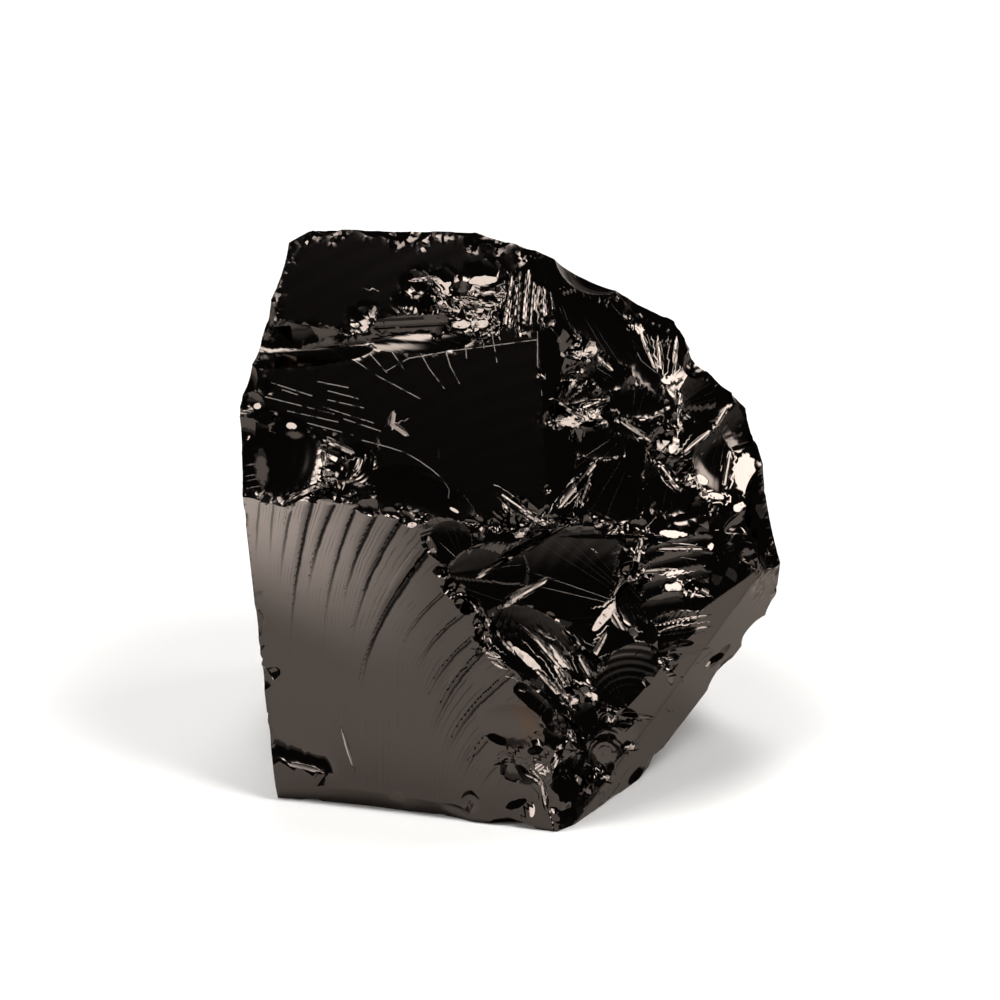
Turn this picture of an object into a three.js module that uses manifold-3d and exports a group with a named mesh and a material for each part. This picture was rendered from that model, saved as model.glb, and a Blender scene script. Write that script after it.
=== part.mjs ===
// A hand specimen of glassy shungite: one lump, broken on all sides.
//
// The lump is first a block bounded by flat fractures. Shell-shaped scars are then struck off it, thin
// steps are cut along the hackle lines that fan over the front face, and crumbs are bitten out along the
// edges. Millimetres, +Z up, the front towards -Y, the resting face at Z = 0.
import * as THREE from 'three';
import { mergeVertices } from 'three/addons/utils/BufferGeometryUtils.js';
import Module from 'manifold-3d';

const MIDDLE_HEIGHT = 23.9;
const BLOCK_SIZE = 240;
const TOOL_REACH = 12;
const WELD = 1e-4;

// Flat fractures: name, bearing and rise of the way each faces (degrees), and how far it lies from the
// middle of the lump. Bearing 0 is the front, 90 the viewer's right; rise 90 is straight up.
const FACES = [
  ['fan face', -14, 0, 18.2],
  ['front bevel', -15, -28, 26.9],
  ['left side', -94, -5.5, 24.5],
  ['left shoulder', -109, 5, 24.5],
  ['left top corner', -140, 43.8, 32.6],
  ['black face', -11, 38, 19.8],
  ['right slope', 35, 35, 19.8],
  ['front right of fan', -7.3, 3.9, 18.2],
  ['right front', 35, 10, 20.6],
  ['right band', 57.1, -23.7, 23.5],
  ['top back left', 175.4, 58.5, 27.7],
  ['top back', 148.3, 50, 24.0],
  ['back shoulder', 143.4, 47, 23.6],
  ['right shoulder', 121, 25.3, 23.6],
  ['right side', 107, 9, 24.0],
  ['under right', 100, -44, 24.7],
  ['back left', -140, 6, 23.9],
  ['back face', 174, 7, 21.0],
  ['back right', 138, -6, 22.3],
  ['back foot', 168, -36, 26.3],
  ['left foot', -120, -35, 28.6],
  ['toe', 42, -12, 22.3],
  ['resting face', 0, -90, MIDDLE_HEIGHT],
];

// The four sides from which the scars are placed: bearing and rise of the eye.
const FRONT = [0, 25];
const BACK = [180, 12];
const LEFT = [-95, 10];
const RIGHT = [100, 8];

// Scars, by side. Each row: what it is, across and up from the middle as that side sees it, half width and
// half height, depth, turn in its own plane, then bearing and rise of the way its hollow opens, and last
// how many ripples run round it. Straight ones are ledges: their floor is nearly flat, and a wall stands up
// from its rim.
const LEDGE_CURVE = 10;
const SCARS = [
  { side: FRONT, rows: [
    ['cove under the crown, left', -16.4, 18.6, 7.0, 1.1, 0.7, 8, -20, 4, 0],
    ['cove under the crown, right', -9.2, 20.1, 5.4, 1.5, 0.9, 4, -8, 4, 0],
    ['dark shell over the cove', -9.2, 22.3, 2.6, 1.1, 0.4, -4, -10, 34, 0],
    ['lit pit at the cove', -14.4, 20.5, 1.3, 1.5, 0.5, -30, -13, 48, 0],
    ['notch in the left outline', -24.8, 21.2, 4.0, 2.6, 1.2, 70, -60, 18, 0],
    ['cluster, top', -2.4, 24.9, 2.3, 1.3, 0.7, 4, -12, 46, 0],
    ['cluster, upper left', -8.8, 24.0, 1.7, 1.3, 0.8, 10, -16, 34, 0],
    ['cluster, upper middle', -6.6, 24.1, 1.8, 1.4, 0.8, -20, -6, 36, 0],
    ['cluster, middle', -4.3, 23.3, 1.7, 1.2, 0.8, 0, -8, 36, 0],
    ['cluster, right', -2.1, 22.7, 1.6, 1.3, 0.7, 0, 4, 44, 0],
    ['cluster, low', -6.2, 22.3, 1.7, 1.0, 0.7, -20, -6, 40, 0],
    ['cluster, lower left', -4.8, 20.9, 1.6, 1.2, 0.6, 0, -13, 46, 0],
    ['cluster, lower right', -2.8, 20.8, 1.5, 1.2, 0.6, 0, -10, 46, 0],
    ['dark notch', -17.2, 6.4, 1.4, 1.6, 0.7, 0, -8, 26, 0],
    ['dark lens', -10.4, 4.7, 4.9, 2.6, 0.4, -28, -8, 29, 0],
    ['left corner chip', -25.4, 12.4, 1.5, 1.3, 0.6, 0, -30, 34, 0],
    ['chip under it', -25.6, 9.8, 1.2, 1.8, 0.6, 0, -60, 14, 0],
    ['spiky shard', 0.8, 2.2, 2.3, 1.1, 0.5, -30, -6, 30, 0],
    ['smooth dark slope', 9.6, 20.9, 7.2, 3.2, 0.3, -40, 35, 33, 0],
    ['dip in the top outline', 7.4, 24.9, 6.0, 3.2, 1.1, -24, 100, 58, 0],
    ['cracked hollow', 14.6, 17.3, 3.1, 3.2, 0.42, 0, 34, 29, 0],
    ['lit flat under it', 15.8, 14.9, 1.5, 0.9, 0.4, 0, 24, 42, 0],
    ['notch in the right outline', 18.6, 16.6, 2.0, 1.5, 1.5, 0, 70, 30, 0],
    ['flake', 16.0, 8.2, 1.4, 1.0, 0.5, 50, 20, 44, 0],
    ['dark lens at the edge', 22.8, 0.5, 2.3, 1.1, 0.8, 0, 44, 26, 0],
    ['hollow in the right outline', 25.2, 0.8, 6.0, 3.2, 1.9, 90, 102, 8, 0],
    ['facet at the band top', 21.4, -2.2, 1.3, 1.3, 0.5, 0, 40, 2, 0],
    ['lip beside it', 6.6, -16.6, 1.4, 0.8, 0.5, 0, -13, 44, 0],
    ['smooth shell on the fan', 0.7, -19.3, 3.2, 2.5, 0.5, 0, -16, -2, 0],
    ['low crumb, middle', 9.8, -18.9, 1.1, 0.9, 0.5, 0, 0, 44, 0],
    ['low crumb, right', 12.0, -19.0, 1.5, 0.7, 0.5, -10, 10, 42, 0],
    ['bright scoop', 22.0, 6.4, 3.8, 3.8, 0.8, 0, 30, 36, 0],
    ['foot scar, left', -18.5, -26.4, 9.5, 3.4, 0.55, -4, -12, -30, 0],
    ['foot scar, middle', -9.0, -27.6, 4.5, 3.0, 0.55, -6, -14, -32, 0],
    ['nick at the toe', 9.6, -28.2, 2.2, 2.2, 1.6, 30, 52, -10, 0],
    ['bite in the right band', 20.6, -13.0, 1.6, 0.9, 0.4, 24, 60, -4, 0],
  ] },
  { side: FRONT, straight: true, rows: [
    ['great bowl', 5.4, -5.9, 8.4, 6.2, 1.2, 8, 0, 23, 0],
    ['column shell, top', 7.3, 17.7, 2.3, 1.0, 0.6, 6, -6, 38, 0],
    ['column shell, second', 7.4, 15.9, 2.3, 1.1, 0.7, 12, -2, 12, 0],
    ['column shell, dark', 7.2, 13.9, 2.6, 1.1, 0.7, 28, -12, 30, 0],
    ['column foot, lit', 6.5, 11.4, 2.5, 1.3, 0.6, 10, -12, 42, 0],
    ['column foot, grey', 9.0, 12.2, 1.6, 1.3, 0.6, 30, 12, 38, 0],
    ['hatched patch', 2.2, 22.9, 3.0, 3.4, 0.8, -14, 4, 32, 0],
    ['left scoop', -22.2, 6.9, 4.2, 4.2, 0.9, 8, -18, 31, 0],
    ['left end of the bowl', -2.4, -4.8, 4.4, 3.4, 1.0, 30, 2, 22, 0],
    ['streaky fan', 12.2, -7.4, 1.9, 2.3, 0.9, 20, 8, 34, 0],
    ['band under it', 16.8, -1.7, 4.1, 1.0, 0.8, 0, 28, 23, 0],
    ['second band', 16.9, -3.2, 4.2, 1.1, 0.8, 0, 28, 23, 0],
    ['band beside the block', 16.8, -5.2, 4.2, 1.4, 0.6, 0, 28, 22, 0],
    ['lit block', 16.1, -5.6, 1.0, 0.8, 1.0, -10, 24, 41, 0],
    ['speckled hollow', 18.6, -5.7, 1.7, 0.9, 1.0, 0, 26, 35, 0],
    ['dark band', 16.6, -7.4, 4.4, 1.4, 0.9, -4, 26, 23, 0],
    ['leaf shell, upper', 17.2, -9.2, 3.5, 1.1, 0.7, -10, 24, 26, 0],
    ['leaf shell, lower', 17.0, -10.6, 3.1, 1.0, 0.6, -4, 24, 29, 0],
    ['hatched flat', 16.6, -12.1, 2.6, 1.1, 0.5, 0, 24, 34, 0],
    ['bed of the streaks', 3.0, -12.6, 6.2, 3.8, 0.9, -46, -4, 23, 0],
    ['crumbled bed', 7.4, -13.8, 2.2, 1.8, 0.9, -60, -2, 27, 0],
    ['rippled bowl', 12.2, -15.2, 4.2, 4.2, 1.5, 0, 14, 22, 0],
    ['dark slash beside the shell', 2.8, -17.4, 3.2, 0.9, 0.5, -50, 6, 25, 0],
    ['low scoop, dark', 7.6, -19.0, 1.5, 1.9, 0.9, 0, 4, 24, 0],
    ['low scoop, upper', 4.8, -20.6, 1.7, 2.2, 0.7, -30, 0, 24, 0],
    ['low scoop, ringed', 9.8, -22.3, 2.9, 2.8, 1.2, 0, 20, 22, 0],
    ['low block, dark', 5.3, -25.2, 1.2, 2.3, 0.7, 0, 0, 25, 0],
    ['low curve', 0.8, -24.2, 1.9, 0.9, 0.4, -20, -8, 26, 0],
    ['scoop at the fan corner', -6.1, -1.2, 2.3, 2.3, 1.2, 0, 4, 23, 0],
    ['rippled scoop', 10.0, 5.0, 3.9, 4.4, 0.9, 10, 12, 27, 0],
    ['hollow above the ripples', 9.4, 8.8, 3.4, 1.8, 0.7, 0, 10, 28, 0],
    ['dark facet, upper', 12.8, 12.9, 3.4, 1.9, 0.6, -10, 24, 26, 0],
    ['dark facet, lower', 12.6, 10.6, 3.4, 1.5, 0.7, -16, 18, 24, 0],
    ['dark facet, right', 19.2, 13.4, 2.6, 2.9, 0.8, -40, 40, 24, 0],
    ['edge facet', 22.2, 10.2, 2.0, 2.3, 0.7, 30, 52, 24, 0],
    ['facet beside the flake', 15.7, 5.2, 2.6, 3.6, 0.9, 0, 22, 23, 0],
    ['flat scoop over the ridge', 17.5, 2.0, 3.6, 1.4, 0.9, 4, 22, 22, 0],
    ['column, right', 9.6, 15.4, 1.6, 1.8, 0.6, 30, 30, 27, 0],
    ['small shell', -14.7, 6.4, 1.5, 1.9, 0.4, 0, -6, 34, 0],
  ] },
  { side: BACK, rows: [
    ['great back scar', -6, 7, 15, 11, 1.9, 24, 170, 12, 0],
    ['tall back scar', 13, 5, 10, 14, 2.0, -10, -164, 2, 0],
    ['low back scar, right side', -13, -13, 11, 7.5, 1.8, 10, 158, -10, 0],
    ['low back scar, middle', 4, -15, 12, 7, 1.7, -12, -178, -12, 0],
    ['top back scar', 4, 20, 13, 6.5, 1.4, 12, 178, 44, 0],
    ['shoulder scar', -17, 14, 8, 8, 1.6, -20, 140, 36, 0],
    ['low back scar, left side', 17, -15, 6.4, 6.4, 1.7, -30, -148, -14, 0],
  ] },
  { side: LEFT, rows: [
    ['great left scar', 3, -4, 10, 10, 1.2, 30, -94, 0, 0],
    ['tall left scar', -13, 3, 9, 14, 1.9, 8, -134, 8, 0],
    ['low left scar', -6, -17, 11, 6, 1.6, -8, -112, -26, 0],
    ['high left scar', -4, 15, 8, 7, 1.3, 30, -116, 18, 0],
  ] },
  { side: RIGHT, rows: [
    ['great right scar', 7, -3, 10, 8.5, 1.8, -24, 108, 2, 0],
    ['back right scar', 14, 7, 9, 11, 1.8, 20, 136, 10, 0],
    ['low right scar', 10, -17, 11, 6.5, 1.5, 8, 114, -34, 0],
    ['high right scar', 2, 15, 8, 7, 1.4, -20, 118, 28, 0],
    ['scar under the band', 3, -18, 6.0, 4.5, 0.9, 30, 104, -46, 0],
  ] },
];

// Rubble: crumbs scattered along a line on the front. Each row: the line's two ends, how many crumbs, the
// width of the strip, their mean radius, and bearing and rise of the way they open.
const RUBBLE = [
  [[-25.8, 3.2], [-17.0, 4.0], 4, 1.2, 0.9, -14, 24],
  [[-16.5, 3.2], [-8.5, 0.8], 4, 0.8, 0.8, -14, 24],
  [[-4.6, 0.4], [4.0, 1.2], 4, 1.0, 0.8, -6, 34],
  [[5.0, 0.9], [14.0, 0.4], 5, 0.8, 0.9, 4, 20],
  [[-7.2, -3.4], [-1.6, -11.4], 5, 0.8, 0.8, -6, 30],
  [[13.6, 0.6], [12.0, -5.0], 3, 0.8, 0.9, 10, 30],
  [[14.0, 9.6], [17.6, 4.0], 4, 2.4, 1.0, 24, 34],
  [[17.0, 13.6], [16.6, 9.4], 2, 0.6, 0.8, 24, 34],
  [[4.6, -18.0], [6.0, -23.6], 3, 1.6, 1.0, 0, 26],
];

// Crumbs bitten out along the edge where two flat fractures meet: the two, how many, mean radius.
const EDGES = [
  ['black face', 'top back left', 5, 1.3],
  ['black face', 'top back', 3, 1.2],
  ['right slope', 'back shoulder', 5, 1.6],
  ['right slope', 'right shoulder', 3, 1.6],
  ['right front', 'right side', 3, 1.6],
  ['right band', 'right front', 4, 1.5],
  ['fan face', 'front bevel', 4, 1.0],
  ['front bevel', 'resting face', 3, 1.3],
  ['fan face', 'left side', 4, 1.1],
  ['black face', 'left shoulder', 3, 1.4],
  ['right band', 'under right', 3, 1.5],
  ['back face', 'top back left', 2, 2.2],
  ['back face', 'back foot', 2, 2.4],
  ['back left', 'left foot', 2, 2.2],
  ['back right', 'back foot', 2, 2.2],
  ['under right', 'right side', 3, 1.9],
  ['left side', 'left foot', 2, 2.0],
  ['back foot', 'resting face', 2, 2.2],
  ['left side', 'left shoulder', 3, 1.6],
];

// Steps: thin wedges along curved lines. Each row: the open upper end, the closed lower end, the wedge's
// width and its depth at the upper end. Every line starts straight up from its lower end and bends over.
const STEP_SEGMENTS = 5;
const STEPS = [
  { face: 'fan face', rows: [
    [[-23.4, 2.2], [-23.8, -5.0], 1.1, 0.24],
    [[-21.6, 2.1], [-22.9, -8.0], 1.3, 0.30],
    [[-19.2, 3.9], [-21.9, -15.0], 1.9, 0.48],
    [[-16.6, 3.9], [-20.2, -9.0], 1.9, 0.50],
    [[-15.0, 2.7], [-18.7, -14.0], 1.4, 0.42],
    [[-12.9, 1.9], [-16.6, -10.0], 1.8, 0.48],
    [[-10.4, 1.3], [-15.9, -14.0], 1.9, 0.50],
    [[-7.9, -2.2], [-15.2, -19.0], 2.0, 0.60],
    [[-6.6, -6.4], [-10.9, -13.5], 1.1, 0.30],
    [[-5.1, -8.8], [-9.4, -15.5], 1.1, 0.32],
    [[-3.6, -10.8], [-8.4, -18.5], 1.1, 0.34],
    [[-2.6, -12.0], [-8.3, -23.5], 1.3, 0.38],
    [[-0.6, -15.0], [-6.5, -24.5], 1.3, 0.36],
    [[-1.8, -20.4], [-4.8, -26.0], 1.0, 0.30],
    [[-0.4, -23.0], [-3.0, -26.5], 0.9, 0.28],
  ] },
];

const MIDDLE = new THREE.Vector3(0, 0, MIDDLE_HEIGHT);
const UP = new THREE.Vector3(0, 0, 1);
const wasm = await Module();
wasm.setup();

function radians(degrees) {
  return degrees * Math.PI / 180;
}

// Fractional part: with a constant step it spreads values evenly without repeating.
function spread(index, step, start) {
  const value = index * step + start;
  return value - Math.floor(value);
}

function facing(bearing, rise) {
  const turn = radians(bearing);
  const lift = radians(rise);
  const level = Math.cos(lift);
  return new THREE.Vector3(Math.sin(turn) * level, -Math.cos(turn) * level, Math.sin(lift));
}

// Across and up as seen by an eye at this bearing and rise, with the way back to the eye.
function outlook([bearing, rise]) {
  const back = facing(bearing, rise);
  const across = facing(bearing + 90, 0);
  const up = new THREE.Vector3().crossVectors(back, across);
  return { across, up, back };
}

function asSolid(geometry) {
  const bare = new THREE.BufferGeometry();
  bare.setAttribute('position', geometry.getAttribute('position').clone());
  if (geometry.index) {
    bare.setIndex(geometry.index.clone());
  }
  const welded = mergeVertices(bare, WELD);
  const index = welded.index.array;
  const corners = [];
  for (let i = 0; i < index.length; i += 3) {
    const [a, b, c] = [index[i], index[i + 1], index[i + 2]];
    if (a !== b && b !== c && c !== a) {
      corners.push(a, b, c);
    }
  }
  return new wasm.Manifold(new wasm.Mesh({
    numProp: 3,
    vertProperties: new Float32Array(welded.getAttribute('position').array),
    triVerts: new Uint32Array(corners),
  }));
}

const planes = new Map();
for (const [name, bearing, rise, reach] of FACES) {
  planes.set(name, new THREE.Plane(facing(bearing, rise), 0).translate(MIDDLE));
  planes.get(name).constant -= reach;
}

// The block that lies inside every flat fracture.
function flatBlock() {
  let block = asSolid(new THREE.BoxGeometry(BLOCK_SIZE, BLOCK_SIZE, BLOCK_SIZE));
  for (const plane of planes.values()) {
    const waste = new THREE.BoxGeometry(BLOCK_SIZE * 2, BLOCK_SIZE * 2, BLOCK_SIZE * 2);
    waste.translate(0, 0, BLOCK_SIZE);
    waste.applyQuaternion(new THREE.Quaternion().setFromUnitVectors(UP, plane.normal));
    const foot = plane.normal.clone().multiplyScalar(-plane.constant);
    waste.translate(foot.x, foot.y, foot.z);
    block = block.subtract(asSolid(waste));
  }
  return block;
}

// Where a line of sight first meets the flat block, and which way the block faces there.
function firstMeeting(eye, direction) {
  let distance = -Infinity;
  let normal = UP;
  for (const plane of planes.values()) {
    const closing = plane.normal.dot(direction);
    if (closing < -1e-9) {
      const reach = -plane.distanceToPoint(eye) / closing;
      if (reach > distance) {
        distance = reach;
        normal = plane.normal;
      }
    }
  }
  return { place: eye.clone().addScaledVector(direction, distance), normal };
}

// The stroke that leaves one scar: a spherical cap stretched to an oval, open outwards. The cap of a ledge
// ends at its rim; any other reaches a little beyond, further where it opens askew to the face it is on.
function scarStroke({ place, opens, normal, halfWidth, halfHeight, depth, turn, ripples, straight }) {
  const radius = Math.sqrt(halfWidth * halfHeight);
  const ball = straight ? radius / Math.sin(radians(LEDGE_CURVE)) : (depth * depth + radius * radius) / (2 * depth);
  const rim = Math.asin(radius / ball);
  const askew = Math.acos(Math.min(1, opens.dot(normal)));
  const widest = straight ? rim : Math.min(radians(88), rim + askew + radians(6));
  const rings = ripples > 0 ? ripples * 2 : radius > 2.9 ? 3 : 2;
  const around = radius > 5 ? 16 : radius > 1.7 ? 10 : 6;
  const profile = [new THREE.Vector2(0, -ball)];
  for (let ring = 1; ring <= rings; ring += 1) {
    const angle = widest * ring / rings;
    const crest = ripples > 0 && ring % 2 === 1 && ring < rings ? 0.055 * radius : 0;
    profile.push(new THREE.Vector2((ball - crest) * Math.sin(angle), -(ball - crest) * Math.cos(angle)));
  }
  const last = profile[profile.length - 1];
  profile.push(new THREE.Vector2(last.x, last.y + TOOL_REACH));
  profile.push(new THREE.Vector2(0, last.y + TOOL_REACH));
  const stroke = new THREE.LatheGeometry(profile, around);
  stroke.scale(halfWidth / radius, 1, halfHeight / radius);
  const level = new THREE.Vector3().crossVectors(UP, opens).normalize();
  const along = level.clone().applyAxisAngle(opens, radians(turn));
  const basis = new THREE.Matrix4().makeBasis(along, opens, new THREE.Vector3().crossVectors(along, opens));
  const centre = place.clone().addScaledVector(opens, ball - depth);
  stroke.applyMatrix4(basis.setPosition(centre));
  return asSolid(stroke);
}

function placedScars() {
  const strokes = [];
  for (const { side, straight = false, rows } of SCARS) {
    const { across, up, back } = outlook(side);
    for (const [, x, y, halfWidth, halfHeight, depth, turn, bearing, rise, ripples] of rows) {
      const eye = MIDDLE.clone().addScaledVector(across, x).addScaledVector(up, y);
      const { place, normal } = firstMeeting(eye, back.clone().negate());
      const opens = facing(bearing, rise);
      strokes.push(scarStroke({
        place, opens, normal, halfWidth, halfHeight, depth, turn, ripples, straight,
      }));
    }
  }
  return strokes;
}

function rubbleScars() {
  const strokes = [];
  const { across, up, back } = outlook(FRONT);
  for (const [start, end, count, width, size, bearing, rise] of RUBBLE) {
    const line = new THREE.Vector2(end[0] - start[0], end[1] - start[1]);
    const sideways = new THREE.Vector2(line.y, -line.x).normalize();
    for (let i = 0; i < count; i += 1) {
      const share = (i + 0.5) / count;
      const off = (spread(i, 0.618, 0.3) - 0.5) * width;
      const eye = MIDDLE.clone()
        .addScaledVector(across, start[0] + line.x * share + sideways.x * off)
        .addScaledVector(up, start[1] + line.y * share + sideways.y * off);
      const { place, normal } = firstMeeting(eye, back.clone().negate());
      const radius = size * (0.65 + 0.7 * spread(i, 0.382, 0.15));
      strokes.push(scarStroke({
        place,
        normal,
        opens: facing(bearing + 70 * (spread(i, 0.755, 0.1) - 0.5), rise + 36 * (spread(i, 0.57, 0.4) - 0.5)),
        halfWidth: radius * 1.25,
        halfHeight: radius * 0.8,
        depth: radius * 0.65,
        turn: 180 * spread(i, 0.47, 0),
        ripples: 0,
      }));
    }
  }
  return strokes;
}

// The straight edge where two flat fractures meet, from end to end.
function edgeBetween(first, second) {
  const one = planes.get(first);
  const two = planes.get(second);
  const along = new THREE.Vector3().crossVectors(one.normal, two.normal).normalize();
  const matrix = new THREE.Matrix3().set(
    one.normal.x, one.normal.y, one.normal.z,
    two.normal.x, two.normal.y, two.normal.z,
    along.x, along.y, along.z,
  );
  const root = new THREE.Vector3(-one.constant, -two.constant, along.dot(MIDDLE)).applyMatrix3(matrix.invert());
  let low = -Infinity;
  let high = Infinity;
  for (const [name, plane] of planes) {
    const slope = plane.normal.dot(along);
    if (name !== first && name !== second && Math.abs(slope) > 1e-9) {
      const reach = -plane.distanceToPoint(root) / slope;
      if (slope > 0) {
        high = Math.min(high, reach);
      } else {
        low = Math.max(low, reach);
      }
    }
  }
  return { root, along, low, high, outward: one.normal.clone().add(two.normal).normalize() };
}

function edgeScars() {
  const strokes = [];
  for (const [first, second, count, size] of EDGES) {
    const { root, along, low, high, outward } = edgeBetween(first, second);
    const sideways = new THREE.Vector3().crossVectors(outward, along);
    for (let i = 0; i < count; i += 1) {
      const share = (i + 0.5 + 0.5 * (spread(i, 0.618, 0.3) - 0.5)) / count;
      const radius = size * (0.6 + 0.8 * spread(i, 0.382, 0.15));
      const opens = outward.clone()
        .addScaledVector(sideways, 0.7 * (spread(i, 0.755, 0.1) - 0.5))
        .addScaledVector(along, 0.6 * (spread(i, 0.57, 0.4) - 0.5))
        .normalize();
      strokes.push(scarStroke({
        place: root.clone().addScaledVector(along, low + share * (high - low)),
        normal: planes.get(first).normal,
        opens,
        halfWidth: radius * 1.5,
        halfHeight: radius * 0.9,
        depth: radius * 0.45,
        turn: 180 * spread(i, 0.47, 0),
        ripples: 0,
      }));
    }
  }
  return strokes;
}

// One thin wedge standing on a face: a box whose length is bent along the line, its floor sloping from
// nothing on the left to the full depth at the line.
function stepStroke(plane, [top, bottom, width, depth]) {
  const { across, up, back } = outlook(FRONT);
  const stroke = new THREE.BoxGeometry(1, 1, 1, 1, STEP_SEGMENTS, 1);
  const corner = stroke.getAttribute('position');
  const sight = new THREE.Ray(new THREE.Vector3(), back.clone().negate());
  const place = new THREE.Vector3();
  for (let i = 0; i < corner.count; i += 1) {
    const run = corner.getY(i) + 0.5;
    const atLine = corner.getX(i) > 0;
    const atFloor = corner.getZ(i) < 0;
    const height = bottom[1] + (top[1] - bottom[1]) * run;
    const bend = bottom[0] + (top[0] - bottom[0]) * run * run;
    const reach = (0.08 + 0.92 * run) * width;
    sight.origin.copy(MIDDLE).addScaledVector(back, BLOCK_SIZE)
      .addScaledVector(across, atLine ? bend : bend - reach)
      .addScaledVector(up, height);
    sight.intersectPlane(plane, place);
    const lift = atFloor ? (atLine ? -depth * (0.08 + 0.92 * run) : 0.02) : TOOL_REACH / 2;
    place.addScaledVector(plane.normal, lift);
    corner.setXYZ(i, place.x, place.y, place.z);
  }
  return asSolid(stroke);
}

function stepScars() {
  return STEPS.flatMap(({ face, rows }) => rows.map((row) => stepStroke(planes.get(face), row)));
}

function shungite() {
  let stone = flatBlock();
  for (const stroke of [...placedScars(), ...rubbleScars(), ...edgeScars(), ...stepScars()]) {
    stone = stone.subtract(stroke);
  }
  const { vertProperties, triVerts, numProp } = stone.getMesh();
  const geometry = new THREE.BufferGeometry();
  geometry.setAttribute('position', new THREE.BufferAttribute(vertProperties, numProp));
  geometry.setIndex(new THREE.BufferAttribute(triVerts, 1));
  const mesh = new THREE.Mesh(geometry.toNonIndexed(), new THREE.MeshStandardMaterial({
    color: 0x2a2826,
    roughness: 0.25,
    metalness: 0.2,
  }));
  mesh.geometry.computeVertexNormals();
  mesh.name = 'shungite';
  return mesh;
}

const specimen = new THREE.Group();
specimen.name = 'shungite_specimen';
specimen.add(shungite());

export default specimen;
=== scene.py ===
"""A hand specimen of glassy shungite, dressed for a studio picture.

The lump is one closed surface. Seen from its middle it has one distance in every direction, so the whole
shape is a function of two angles: the nearest of the flat fractures, less the scars struck off them, less
the steps and crumbs. That function is sampled on a grid of rings and spokes and meshed so that the ridges
between scars stay sharp.
"""

import math

import bpy
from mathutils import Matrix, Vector
import numpy as np


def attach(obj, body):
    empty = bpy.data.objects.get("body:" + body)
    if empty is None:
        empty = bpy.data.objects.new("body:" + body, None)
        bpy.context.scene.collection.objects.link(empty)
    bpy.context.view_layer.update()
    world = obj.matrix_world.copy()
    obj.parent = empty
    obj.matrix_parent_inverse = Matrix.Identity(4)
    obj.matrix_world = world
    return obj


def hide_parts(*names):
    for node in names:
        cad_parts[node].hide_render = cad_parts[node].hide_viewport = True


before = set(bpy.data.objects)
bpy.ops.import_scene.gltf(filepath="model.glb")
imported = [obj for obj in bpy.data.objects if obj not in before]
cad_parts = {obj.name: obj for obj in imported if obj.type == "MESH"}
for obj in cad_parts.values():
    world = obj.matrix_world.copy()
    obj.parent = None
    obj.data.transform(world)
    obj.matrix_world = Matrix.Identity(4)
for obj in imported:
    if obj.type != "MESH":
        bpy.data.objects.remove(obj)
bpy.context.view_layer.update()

MM = 0.001
MIDDLE_HEIGHT = 23.9
MIDDLE = np.array([0.0, 0.0, MIDDLE_HEIGHT])

# Outlooks: bearing and rise of the eye, in degrees. Bearing 0 is the front, 90 the right.
FRONT = [0, 25]
BACK = [180, 12]
LEFT = [-95, 10]
RIGHT = [100, 8]

# Flat fractures: name, bearing and rise of the way each faces (degrees), distance from the middle (mm).
FACES = [
    ["fan face", -14, 0, 18.2],
    ["front bevel", -15, -28, 26.9],
    ["left side", -94, -5.5, 24.5],
    ["left shoulder", -109, 5, 24.5],
    ["left top corner", -140, 43.8, 32.6],
    ["black face", -11, 38, 19.8],
    ["right slope", 35, 35, 19.8],
    ["front right of fan", -7.3, 3.9, 18.2],
    ["right front", 35, 10, 20.6],
    ["right band", 57.1, -23.7, 23.5],
    ["top back left", 175.4, 58.5, 27.7],
    ["top back", 148.3, 50, 24.0],
    ["back shoulder", 143.4, 47, 23.6],
    ["right shoulder", 121, 25.3, 23.6],
    ["right side", 107, 9, 24.0],
    ["under right", 100, -44, 24.7],
    ["back left", -140, 6, 23.9],
    ["back face", 174, 7, 21.0],
    ["back right", 138, -6, 22.3],
    ["back foot", 168, -36, 26.3],
    ["left foot", -120, -35, 28.6],
    ["toe", 42, -12, 22.3],
    ["resting face", 0, -90, MIDDLE_HEIGHT],
]

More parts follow.
